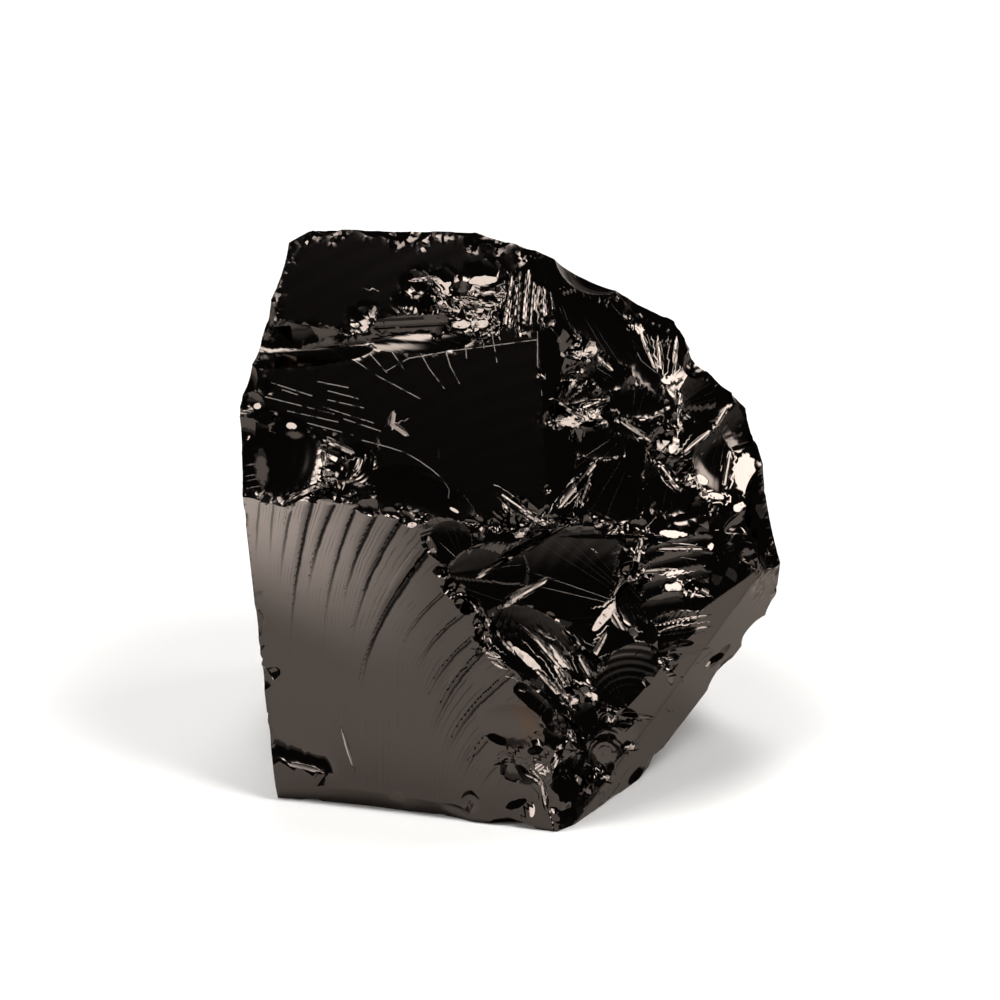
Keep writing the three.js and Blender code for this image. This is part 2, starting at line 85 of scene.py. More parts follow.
# Scars, by the outlook that sees them and whether they are ledges with upright walls. Each: name, across and
# up in that outlook, half width, half height and depth (mm), turn, bearing and rise it opens to (degrees).
SCARS = [
    (FRONT, False, [
        ["cove under the crown, left", -16.4, 18.6, 7.0, 1.1, 0.7, 8, -20, 4],
        ["cove under the crown, right", -9.2, 20.1, 5.4, 1.5, 0.9, 4, -8, 4],
        ["dark shell over the cove", -9.2, 22.3, 2.6, 1.1, 0.4, -4, -10, 34],
        ["lit pit at the cove", -14.4, 20.5, 1.3, 1.5, 0.5, -30, -13, 48],
        ["notch in the left outline", -24.8, 21.2, 4.0, 2.6, 1.2, 70, -60, 18],
        ["cluster, top", -2.4, 24.9, 2.3, 1.3, 0.7, 4, -12, 46],
        ["cluster, upper left", -8.8, 24.0, 1.7, 1.3, 0.8, 10, -16, 34],
        ["cluster, upper middle", -6.6, 24.1, 1.8, 1.4, 0.8, -20, -6, 36],
        ["cluster, middle", -4.3, 23.3, 1.7, 1.2, 0.8, 0, -8, 36],
        ["cluster, right", -2.1, 22.7, 1.6, 1.3, 0.7, 0, 4, 44],
        ["cluster, low", -6.2, 22.3, 1.7, 1.0, 0.7, -20, -6, 40],
        ["cluster, lower left", -4.8, 20.9, 1.6, 1.2, 0.6, 0, -13, 46],
        ["cluster, lower right", -2.8, 20.8, 1.5, 1.2, 0.6, 0, -10, 46],
        ["dark notch", -17.2, 6.4, 1.4, 1.6, 0.7, 0, -8, 26],
        ["dark lens", -10.4, 4.7, 4.9, 2.6, 0.4, -28, -8, 29],
        ["left corner chip", -25.4, 12.4, 1.5, 1.3, 0.6, 0, -30, 34],
        ["chip under it", -25.6, 9.8, 1.2, 1.8, 0.6, 0, -60, 14],
        ["spiky shard", 0.8, 2.2, 2.3, 1.1, 0.5, -30, -6, 30],
        ["smooth dark slope", 9.6, 20.9, 7.2, 3.2, 0.3, -40, 35, 33],
        ["dip in the top outline", 7.4, 24.9, 6.0, 3.2, 1.1, -24, 100, 58],
        ["cracked hollow", 14.6, 17.3, 3.1, 3.2, 0.42, 0, 34, 29],
        ["lit flat under it", 15.8, 14.9, 1.5, 0.9, 0.4, 0, 24, 42],
        ["notch in the right outline", 18.6, 16.6, 2.0, 1.5, 1.5, 0, 70, 30],
        ["flake", 16.0, 8.2, 1.4, 1.0, 0.5, 50, 20, 44],
        ["dark lens at the edge", 22.8, 0.5, 2.3, 1.1, 0.8, 0, 44, 26],
        ["hollow in the right outline", 25.2, 0.8, 6.0, 3.2, 1.9, 90, 102, 8],
        ["facet at the band top", 21.4, -2.2, 1.3, 1.3, 0.5, 0, 40, 2],
        ["lip beside it", 6.6, -16.6, 1.4, 0.8, 0.5, 0, -13, 44],
        ["smooth shell on the fan", 0.7, -19.3, 3.2, 2.5, 0.5, 0, -16, -2],
        ["low crumb, middle", 9.8, -18.9, 1.1, 0.9, 0.5, 0, 0, 44],
        ["low crumb, right", 12.0, -19.0, 1.5, 0.7, 0.5, -10, 10, 42],
        ["bright scoop", 22.0, 6.4, 3.8, 3.8, 0.8, 0, 30, 36],
        ["foot scar, left", -18.5, -26.4, 9.5, 3.4, 0.55, -4, -12, -30],
        ["foot scar, middle", -9.0, -27.6, 4.5, 3.0, 0.55, -6, -14, -32],
        ["nick at the toe", 9.6, -28.2, 2.2, 2.2, 1.6, 30, 52, -10],
        ["bite in the right band", 20.6, -13.0, 1.6, 0.9, 0.4, 24, 60, -4],
    ]),
    (FRONT, True, [
        ["great bowl", 5.4, -5.9, 8.4, 6.2, 1.2, 8, 0, 23],
        ["column shell, top", 7.3, 17.7, 2.3, 1.0, 0.6, 6, -6, 38],
        ["column shell, second", 7.4, 15.9, 2.3, 1.1, 0.7, 12, -2, 12],
        ["column shell, dark", 7.2, 13.9, 2.6, 1.1, 0.7, 28, -12, 30],
        ["column foot, lit", 6.5, 11.4, 2.5, 1.3, 0.6, 10, -12, 42],
        ["column foot, grey", 9.0, 12.2, 1.6, 1.3, 0.6, 30, 12, 38],
        ["hatched patch", 2.2, 22.9, 3.0, 3.4, 0.8, -14, 4, 32],
        ["left scoop", -22.2, 6.9, 4.2, 4.2, 0.9, 8, -18, 31],
        ["left end of the bowl", -2.4, -4.8, 4.4, 3.4, 1.0, 30, 2, 22],
        ["streaky fan", 12.2, -7.4, 1.9, 2.3, 0.9, 20, 8, 34],
        ["band under it", 16.8, -1.7, 4.1, 1.0, 0.8, 0, 28, 23],
        ["second band", 16.9, -3.2, 4.2, 1.1, 0.8, 0, 28, 23],
        ["band beside the block", 16.8, -5.2, 4.2, 1.4, 0.6, 0, 28, 22],
        ["lit block", 16.1, -5.6, 1.0, 0.8, 1.0, -10, 24, 41],
        ["speckled hollow", 18.6, -5.7, 1.7, 0.9, 1.0, 0, 26, 35],
        ["dark band", 16.6, -7.4, 4.4, 1.4, 0.9, -4, 26, 23],
        ["leaf shell, upper", 17.2, -9.2, 3.5, 1.1, 0.7, -10, 24, 26],
        ["leaf shell, lower", 17.0, -10.6, 3.1, 1.0, 0.6, -4, 24, 29],
        ["hatched flat", 16.6, -12.1, 2.6, 1.1, 0.5, 0, 24, 34],
        ["bed of the streaks", 3.0, -12.6, 6.2, 3.8, 0.9, -46, -4, 23],
        ["crumbled bed", 7.4, -13.8, 2.2, 1.8, 0.9, -60, -2, 27],
        ["rippled bowl", 12.2, -15.2, 4.2, 4.2, 1.5, 0, 14, 22],
        ["dark slash beside the shell", 2.8, -17.4, 3.2, 0.9, 0.5, -50, 6, 25],
        ["low scoop, dark", 7.6, -19.0, 1.5, 1.9, 0.9, 0, 4, 24],
        ["low scoop, upper", 4.8, -20.6, 1.7, 2.2, 0.7, -30, 0, 24],
        ["low scoop, ringed", 9.8, -22.3, 2.9, 2.8, 1.2, 0, 20, 22],
        ["low block, dark", 5.3, -25.2, 1.2, 2.3, 0.7, 0, 0, 25],
        ["low curve", 0.8, -24.2, 1.9, 0.9, 0.4, -20, -8, 26],
        ["scoop at the fan corner", -6.1, -1.2, 2.3, 2.3, 1.2, 0, 4, 23],
        ["rippled scoop", 10.0, 5.0, 3.9, 4.4, 0.9, 10, 12, 27],
        ["hollow above the ripples", 9.4, 8.8, 3.4, 1.8, 0.7, 0, 10, 28],
        ["dark facet, upper", 12.8, 12.9, 3.4, 1.9, 0.6, -10, 24, 26],
        ["dark facet, lower", 12.6, 10.6, 3.4, 1.5, 0.7, -16, 18, 24],
        ["dark facet, right", 19.2, 13.4, 2.6, 2.9, 0.8, -40, 40, 24],
        ["edge facet", 22.2, 10.2, 2.0, 2.3, 0.7, 30, 52, 24],
        ["facet beside the flake", 15.7, 5.2, 2.6, 3.6, 0.9, 0, 22, 23],
        ["flat scoop over the ridge", 17.5, 2.0, 3.6, 1.4, 0.9, 4, 22, 22],
        ["column, right", 9.6, 15.4, 1.6, 1.8, 0.6, 30, 30, 27],
        ["small shell", -14.7, 6.4, 1.5, 1.9, 0.4, 0, -6, 34],
    ]),
    (BACK, False, [
        ["great back scar", -6, 7, 15, 11, 1.9, 24, 170, 12],
        ["tall back scar", 13, 5, 10, 14, 2.0, -10, -164, 2],
        ["low back scar, right side", -13, -13, 11, 7.5, 1.8, 10, 158, -10],
        ["low back scar, middle", 4, -15, 12, 7, 1.7, -12, -178, -12],
        ["top back scar", 4, 20, 13, 6.5, 1.4, 12, 178, 44],
        ["shoulder scar", -17, 14, 8, 8, 1.6, -20, 140, 36],
        ["low back scar, left side", 17, -15, 6.4, 6.4, 1.7, -30, -148, -14],
    ]),
    (LEFT, False, [
        ["great left scar", 3, -4, 10, 10, 1.2, 30, -94, 0],
        ["tall left scar", -13, 3, 9, 14, 1.9, 8, -134, 8],
        ["low left scar", -6, -17, 11, 6, 1.6, -8, -112, -26],
        ["high left scar", -4, 15, 8, 7, 1.3, 30, -116, 18],
    ]),
    (RIGHT, False, [
        ["great right scar", 7, -3, 10, 8.5, 1.8, -24, 108, 2],
        ["back right scar", 14, 7, 9, 11, 1.8, 20, 136, 10],
        ["low right scar", 10, -17, 11, 6.5, 1.5, 8, 114, -34],
        ["high right scar", 2, 15, 8, 7, 1.4, -20, 118, 28],
        ["scar under the band", 3, -18, 6.0, 4.5, 0.9, 30, 104, -46],
    ]),
]

# Strips of crumbs on the front: two ends (mm), how many crumbs, width of the strip, size of a crumb, and the
# bearing and rise that the crumbs open to.
RUBBLE = [
    [[-25.8, 3.2], [-17.0, 4.0], 4, 1.2, 0.9, -14, 24],
    [[-16.5, 3.2], [-8.5, 0.8], 4, 0.8, 0.8, -14, 24],
    [[-4.6, 0.4], [4.0, 1.2], 4, 1.0, 0.8, -6, 34],
    [[5.0, 0.9], [14.0, 0.4], 5, 0.8, 0.9, 4, 20],
    [[-7.2, -3.4], [-1.6, -11.4], 5, 0.8, 0.8, -6, 30],
    [[13.6, 0.6], [12.0, -5.0], 3, 0.8, 0.9, 10, 30],
    [[14.0, 9.6], [17.6, 4.0], 4, 2.4, 1.0, 24, 34],
    [[17.0, 13.6], [16.6, 9.4], 2, 0.6, 0.8, 24, 34],
    [[4.6, -18.0], [6.0, -23.6], 3, 1.6, 1.0, 0, 26],
]

# Half the turn of a ledge's nearly flat floor, in degrees.
LEDGE_CURVE = 10

# Crumbled edges: the two fractures that meet there, how many crumbs, and their size (mm).
EDGES = [
    ["black face", "top back left", 5, 1.3],
    ["black face", "top back", 3, 1.2],
    ["right slope", "back shoulder", 5, 1.6],
    ["right slope", "right shoulder", 3, 1.6],
    ["right front", "right side", 3, 1.6],
    ["right band", "right front", 4, 1.5],
    ["fan face", "front bevel", 4, 1.0],
    ["front bevel", "resting face", 3, 1.3],
    ["fan face", "left side", 4, 1.1],
    ["black face", "left shoulder", 3, 1.4],
    ["right band", "under right", 3, 1.5],
    ["back face", "top back left", 2, 2.2],
    ["back face", "back foot", 2, 2.4],
    ["back left", "left foot", 2, 2.2],
    ["back right", "back foot", 2, 2.2],
    ["under right", "right side", 3, 1.9],
    ["left side", "left foot", 2, 2.0],
    ["back foot", "resting face", 2, 2.2],
    ["left side", "left shoulder", 3, 1.6],
]

# Hackle steps of a fracture: top and bottom of each line (mm), width and depth of its wedge at the top.
STEPS = [
    ("fan face", [
        [[-23.4, 2.2], [-23.8, -5.0], 1.1, 0.24],
        [[-21.6, 2.1], [-22.9, -8.0], 1.3, 0.30],
        [[-19.2, 3.9], [-21.9, -15.0], 1.9, 0.48],
        [[-16.6, 3.9], [-20.2, -9.0], 1.9, 0.50],
        [[-15.0, 2.7], [-18.7, -14.0], 1.4, 0.42],
        [[-12.9, 1.9], [-16.6, -10.0], 1.8, 0.48],
        [[-10.4, 1.3], [-15.9, -14.0], 1.9, 0.50],
        [[-7.9, -2.2], [-15.2, -19.0], 2.0, 0.60],
        [[-6.6, -6.4], [-10.9, -13.5], 1.1, 0.30],
        [[-5.1, -8.8], [-9.4, -15.5], 1.1, 0.32],
        [[-3.6, -10.8], [-8.4, -18.5], 1.1, 0.34],
        [[-2.6, -12.0], [-8.3, -23.5], 1.3, 0.38],
        [[-0.6, -15.0], [-6.5, -24.5], 1.3, 0.36],
        [[-1.8, -20.4], [-4.8, -26.0], 1.0, 0.30],
        [[-0.4, -23.0], [-3.0, -26.5], 0.9, 0.28],
    ]),
]


def radians(degrees):
    return degrees * math.pi / 180


def spread(index, step, start):
    """Fractional part of index x step + start: even, never repeating values from 0 to 1."""
    value = index * step + start
    return value - math.floor(value)


def facing(bearing, rise):
    turn, lift = radians(bearing), radians(rise)
    return np.array([math.sin(turn) * math.cos(lift), -math.cos(turn) * math.cos(lift), math.sin(lift)])


def outlook(side):
    """Across, up and back to the eye, for an eye at this bearing and rise."""
    back = facing(*side)
    across = facing(side[0] + 90, 0)
    return across, np.cross(back, across), back


def unit(vector):
    return vector / np.linalg.norm(vector, axis=-1, keepdims=True)


def smooth(low, high, value):
    """0 below low, 1 above high, an even S between: 3t^2 - 2t^3."""
    t = np.clip((value - low) / (high - low), 0, 1)
    return t * t * (3 - 2 * t)


NAMES = [row[0] for row in FACES]
NORMALS = np.array([facing(row[1], row[2]) for row in FACES])
REACHES = np.array([row[3] for row in FACES])
ACROSS, UPWARD, BACKWARD = outlook(FRONT)


def first_meeting(eye, direction):
    """Where a line of sight enters the block of flat fractures, and the way the block faces there."""
    closing = NORMALS @ direction
    ahead = closing < -1e-9
    travel = np.full(len(REACHES), -np.inf)
    travel[ahead] = (REACHES[ahead] - NORMALS[ahead] @ (eye - MIDDLE)) / closing[ahead]
    nearest = travel.argmax()
    return eye + direction * travel[nearest], NORMALS[nearest]


def hollow(place, opens, normal, half_width, half_height, depth, turn, straight=False):
    """One scar as a stretched ball whose cap, of the given depth, dips into the lump at a place.

    Ball radius = (depth^2 + r^2) / 2 depth, where r is the mean half width, or r / sine of half the ledge's
    turn for a ledge. The matrix squeezes space so that the oval ball is round; the cone is how far from its
    place, seen from the middle, it can reach.
    """
    radius = math.sqrt(half_width * half_height)
    ball = (depth * depth + radius * radius) / (2 * depth)
    if straight:
        ball = radius / math.sin(radians(LEDGE_CURVE))
    rim = math.asin(radius / ball)
    askew = math.acos(min(1.0, float(opens @ normal)))
    widest = rim if straight else min(radians(88), rim + askew + radians(6))
    level = unit(np.cross([0.0, 0.0, 1.0], opens))
    upward = np.cross(opens, level)
    along = level * math.cos(radians(turn)) + upward * math.sin(radians(turn))
    squeeze = np.stack([along * radius / half_width, np.cross(opens, along) * radius / half_height, opens])
    centre = place + opens * (ball - depth)
    stretch = max(half_width, half_height) / radius
    away = np.linalg.norm(place - MIDDLE)
    cone = math.cos(min(1.5, math.atan(1.1 * ball * math.sin(widest) * stretch / away) + 0.02))
    return {
        "toward": (place - MIDDLE) / away, "cone": cone, "squeeze": squeeze, "ball": ball,
        "offset": squeeze @ (MIDDLE - centre),
        "wall": ball * math.sin(widest), "foot": -ball * math.cos(widest),
        "place": place, "along": along, "opens": opens, "half_width": half_width,
    }


def placed_hollows():
    found = []
    for side, straight, rows in SCARS:
        across, upward, back = outlook(side)
        for _, x, y, half_width, half_height, depth, turn, bearing, rise in rows:
            place, normal = first_meeting(MIDDLE + across * x + upward * y, -back)
            opens = facing(bearing, rise)
            found.append(hollow(place, opens, normal, half_width, half_height, depth, turn, straight))
    return found


def rubble_hollows():
    found = []
    for start, end, count, width, size, bearing, rise in RUBBLE:
        line = np.subtract(end, start)
        sideways = unit(np.array([line[1], -line[0]]))
        for i in range(count):
            x, y = start + line * (i + 0.5) / count + sideways * (spread(i, 0.618, 0.3) - 0.5) * width
            place, normal = first_meeting(MIDDLE + ACROSS * x + UPWARD * y, -BACKWARD)
            askew, lean = 70 * (spread(i, 0.755, 0.1) - 0.5), 36 * (spread(i, 0.57, 0.4) - 0.5)
            opens = facing(bearing + askew, rise + lean)
            radius = size * (0.65 + 0.7 * spread(i, 0.382, 0.15))
            found.append(hollow(place, opens, normal, radius * 1.25, radius * 0.8, radius * 0.65,
                                180 * spread(i, 0.47, 0)))
    return found


def edge_hollows():
    """Crumbs along the line where two flat fractures meet, clipped by all the others."""
    found = []
    for first, second, count, size in EDGES:
        one, two = NAMES.index(first), NAMES.index(second)
        along = unit(np.cross(NORMALS[one], NORMALS[two]))
        root = np.linalg.solve([NORMALS[one], NORMALS[two], along], [REACHES[one], REACHES[two], 0.0])
        slope = NORMALS @ along
        others = [k for k in range(len(FACES)) if k not in (one, two) and abs(slope[k]) > 1e-9]
        travel = {k: (REACHES[k] - NORMALS[k] @ root) / slope[k] for k in others}
        high = min(travel[k] for k in others if slope[k] > 0)
        low = max(travel[k] for k in others if slope[k] < 0)
        outward = unit(NORMALS[one] + NORMALS[two])
        sideways = np.cross(outward, along)
        for i in range(count):
            share = (i + 0.5 + 0.5 * (spread(i, 0.618, 0.3) - 0.5)) / count
            radius = size * (0.6 + 0.8 * spread(i, 0.382, 0.15))
            opens = unit(outward + sideways * 0.7 * (spread(i, 0.755, 0.1) - 0.5)
                         + along * 0.6 * (spread(i, 0.57, 0.4) - 0.5))
            place = MIDDLE + root + along * (low + share * (high - low))
            found.append(hollow(place, opens, NORMALS[one], radius * 1.5, radius * 0.9, radius * 0.45,
                                180 * spread(i, 0.47, 0)))
    return found


def step_relief(face, places):
    """Depth of the thin wedges on a face: across each one it grows evenly from nothing to the line."""
    x, y = (places - MIDDLE) @ ACROSS, (places - MIDDLE) @ UPWARD
    relief = np.zeros(len(places))
    for name, rows in STEPS:
        if name != face:
            continue
        for top, bottom, width, depth in rows:
            run = (y - bottom[1]) / (top[1] - bottom[1])
            share_of_size = 0.08 + 0.92 * np.clip(run, 0, 1.2)
            line = bottom[0] + (top[0] - bottom[0]) * run * run
            share = (x - line + share_of_size * width) / (share_of_size * width)
            inside = (run > 0) & (run < 1.02) & (share > 0) & (share < 1)
            relief = np.maximum(relief, np.where(inside, depth * share_of_size * share, 0))
    return relief


def wall_entry(scar, ray):
    """How far along each ray it enters a scar's upright wall: the nearer root of a circle's equation."""
    level, start = ray[:, :2], scar["offset"][:2]
    square, across = (level * level).sum(1), level @ start
    inside = across * across - square * (start @ start - scar["wall"] ** 2)
    entry = (-across - np.sqrt(np.maximum(inside, 0))) / np.maximum(square, 1e-9)
    height = scar["offset"][2] + ray[:, 2] * entry
    return np.where((inside > 0) & (entry > 0) & (height >= scar["foot"]), entry, np.inf)


def reach(directions, hollows):
    """Distance from the middle to the surface along each direction, and what made the surface there.

    Nearest flat fracture first, sunk by its steps; then, inside each scar's cone, the crossing of its ball
    where that comes sooner, or of the wall that stands up from the edge of its cap. The maker is the number
    of the flat fracture, or the count of them plus the number of the scar.
    """
    outward = directions @ NORMALS.T
    travel = np.where(outward > 1e-6, REACHES / np.maximum(outward, 1e-6), np.inf)
    maker = travel.argmin(1)
    far = travel[np.arange(len(maker)), maker]
    for face in {name for name, _ in STEPS}:
        on_face = np.flatnonzero(maker == NAMES.index(face))
        relief = step_relief(face, MIDDLE + directions[on_face] * far[on_face, None])
        far[on_face] -= relief / outward[on_face, NAMES.index(face)]
    for number, scar in enumerate(hollows):
        near = np.flatnonzero(directions @ scar["toward"] > scar["cone"])
        ray = directions[near] @ scar["squeeze"].T
        square = (ray * ray).sum(1)
        across = ray @ scar["offset"]
        inside = across * across - square * (scar["offset"] @ scar["offset"] - scar["ball"] ** 2)
        entry = np.full(len(near), np.inf)
        hit = (inside > 0) & (across < 0)
        entry[hit] = (-across[hit] - np.sqrt(inside[hit])) / square[hit]
        spot = scar["offset"] + ray[hit] * entry[hit, None]
        beyond = np.flatnonzero(hit)[spot[:, 2] > scar["foot"]]
        entry[beyond] = wall_entry(scar, ray[beyond])
        sooner = entry < far[near]
        far[near[sooner]] = entry[sooner]
        maker[near[sooner]] = len(FACES) + number
    return far, maker


def places_and_normals(directions, hollows, step=2e-4):
    """Points of the surface with their normals, from two nearby directions each, and their makers."""
    side = unit(np.cross(directions, [0.31, 0.52, 0.79]))
    other = np.cross(directions, side)
    far, maker = reach(directions, hollows)
    here = directions * far[:, None]
    sides = []
    for away in (side, other):
        near = unit(directions + away * step)
        sides.append(near * reach(near, hollows)[0][:, None] - here)
    normal = np.cross(*sides)
    normal *= np.sign((normal * directions).sum(1, keepdims=True))
    return MIDDLE + here, unit(normal), maker


# Grid of directions: rings round the line to the viewer, spokes round each ring. Rings are closer together
# on the side that is looked at.
RINGS = 204
SPOKES = 480
FRONT_RINGS = 158
FRONT_ANGLE = 100.0


def ring_angles():
    front = np.linspace(0, FRONT_ANGLE, FRONT_RINGS + 1)
    back = np.linspace(FRONT_ANGLE, 180, RINGS - FRONT_RINGS + 1)
    return np.radians(np.concatenate([front, back[1:]]))


def grid_directions(polar, spokes):
    """Directions at an angle from the viewer's own, turned evenly all round it."""
    round_about = np.arange(spokes) * 2 * math.pi / spokes
    level = np.cos(round_about)[:, None] * ACROSS + np.sin(round_about)[:, None] * UPWARD
    return np.cos(polar)[:, None, None] * BACKWARD + np.sin(polar)[:, None, None] * level[None]


# Fine crumbs, too small for the solid: how many bites along the ridges, and their radii in millimetres.
CRUMB_COUNT = 260
CRUMB_RADII = (0.22, 0.55)
CRUMB_RINGS = 150
CRUMB_SPOKES = 300
CRUMB_FREE_FOOT = 0.6


def ridge_strength(places, normals):
    """How sharply the surface turns outward at each grid point, in radians per step of the grid."""
    turn = np.zeros(places.shape[:2])
    for axis in (0, 1):
        bend = np.roll(normals, -1, axis) - normals
        stride = np.roll(places, -1, axis) - places
        turn = np.maximum(turn, (bend * stride).sum(2) / np.maximum(np.linalg.norm(stride, axis=2), 1e-6))
    turn[-1] = 0
    return turn


def crumb_hollows(hollows):
    """Small bites scattered at random on the sharp ridges, and thicker in the rubble.

    A coarse grid of the lump finds where the surface turns outward; the chance of a bite grows with that
    turn and with nearness to the viewer's side. Each opens about square to the surface.
    """
    polar = np.linspace(0.02, math.pi - 0.02, CRUMB_RINGS)
    directions = grid_directions(polar, CRUMB_SPOKES)
    places, normals, _ = places_and_normals(directions.reshape(-1, 3), hollows)
    places, normals = places.reshape(directions.shape), normals.reshape(directions.shape)
    weight = smooth(0.15, 0.9, ridge_strength(places, normals)) * np.sin(polar)[:, None]
    weight *= 0.25 + 0.75 * smooth(-0.2, 0.3, directions @ BACKWARD)
    weight *= 0.15 + rubble_share(places.reshape(-1, 3)).reshape(weight.shape)
    weight[places[..., 2] < CRUMB_FREE_FOOT] = 0
    dice = np.random.default_rng(7)
    chosen = dice.choice(weight.size, CRUMB_COUNT, replace=False, p=weight.ravel() / weight.sum())
    low, high = CRUMB_RADII
    radii = low + (high - low) * dice.random(CRUMB_COUNT) ** 2
    found = []
    for spot, radius in zip(chosen, radii):
        normal = normals.reshape(-1, 3)[spot]
        opens = unit(normal + 0.45 * dice.standard_normal(3))
        if opens @ normal < 0.2:
            continue
        half_width, depth = radius * dice.uniform(1, 1.9), radius * dice.uniform(0.3, 0.6)
        place = places.reshape(-1, 3)[spot]
        found.append(hollow(place, opens, normal, half_width, radius, depth, dice.uniform(0, 180)))
    return found


def rubble_share(places):
    """1 in the rubble strips on the side that is looked at, fading to 0 a little beyond them."""
    x, y = (places - MIDDLE) @ ACROSS, (places - MIDDLE) @ UPWARD
    front = smooth(-2.0, 4.0, (places - MIDDLE) @ BACKWARD)
    share = np.zeros(len(places))
    for start, end, width in [(row[0], row[1], row[3]) for row in RUBBLE] + FINE_RUBBLE:
        line = np.subtract(end, start)
        run = np.clip(((x - start[0]) * line[0] + (y - start[1]) * line[1]) / (line @ line), 0, 1)
        gap = np.hypot(x - start[0] - run * line[0], y - start[1] - run * line[1])
        share = np.maximum(share, 1 - smooth(width * 0.5, width * 0.5 + 1.2, gap))
    return share * front


# More strips of fine rubble on the front: two ends and width.
FINE_RUBBLE = [
    ([-8.6, 24.4], [-2.0, 21.0], 2.4),
    ([-16.4, 19.4], [-14.4, 20.8], 0.8),
    ([5.6, 18.5], [8.0, 15.0], 1.6),
    ([4.0, 10.8], [9.6, 12.4], 1.6),
    ([-1.0, -10.6], [6.0, -16.0], 2.4),
    ([4.0, -18.0], [6.0, -24.0], 1.6),
    ([3.0, -27.5], [8.5, -25.0], 1.4),
    ([24.4, -2.0], [26.0, -8.0], 1.6),
    ([15.4, 9.0], [17.0, 4.5], 2.0),
    ([-17.6, 8.6], [-18.2, 4.4], 1.0),
]


def hackle_marks(places):
    """Coordinate across the hackle lines of the fan, whole on each line; the gap it counts; their depth.

    Each line starts straight up from its lower end and bends over as the square of its rise; they are
    carried on past both ends, kept in order, and the coordinate runs evenly between neighbours. The depth
    is that of the nearest line, fading to nothing at its lower end.
    """
    x, y = (places - MIDDLE) @ ACROSS, (places - MIDDLE) @ UPWARD
    rows = [row for name, lines in STEPS if name == "fan face" for row in lines]
    rows.sort(key=lambda row: row[1][0])
    tops = np.array([row[0] for row in rows])
    feet = np.array([row[1] for row in rows])
    depths = np.array([row[3] for row in rows])
    run = np.maximum((y[:, None] - feet[:, 1]) / (tops[:, 1] - feet[:, 1]), 0)
    lines = feet[:, 0] + (tops[:, 0] - feet[:, 0]) * run * run
    order = np.arange(len(rows))
    lines = np.maximum.accumulate(lines - 0.35 * order, axis=1) + 0.35 * order
    gaps = np.diff(lines, axis=1)
    mark = np.clip((x[:, None] - lines[:, :-1]) / gaps, 0, 1).sum(1)
    mark += np.minimum(x - lines[:, 0], 0) / 1.4 + np.maximum(x - lines[:, -1], 0) / 1.4
    nearest = np.clip(np.round(mark), 0, len(rows) - 1).astype(int)
    every = np.arange(len(places))
    gap = gaps[every, np.clip(np.floor(mark), 0, len(rows) - 2).astype(int)]
    depth = depths[nearest] * smooth(0.0, 0.9, run[every, nearest])
    return mark, gap, depth


# Ways that small features face: towards the soft boxes, the dark of the room or the pale floor.
TO_KEY = (-13, 47)
TO_SIDE = (20, 45)
TO_STRIP = (-31, 27)
TO_DARK = (2, 25)
TO_FLOOR = (-10, 2)

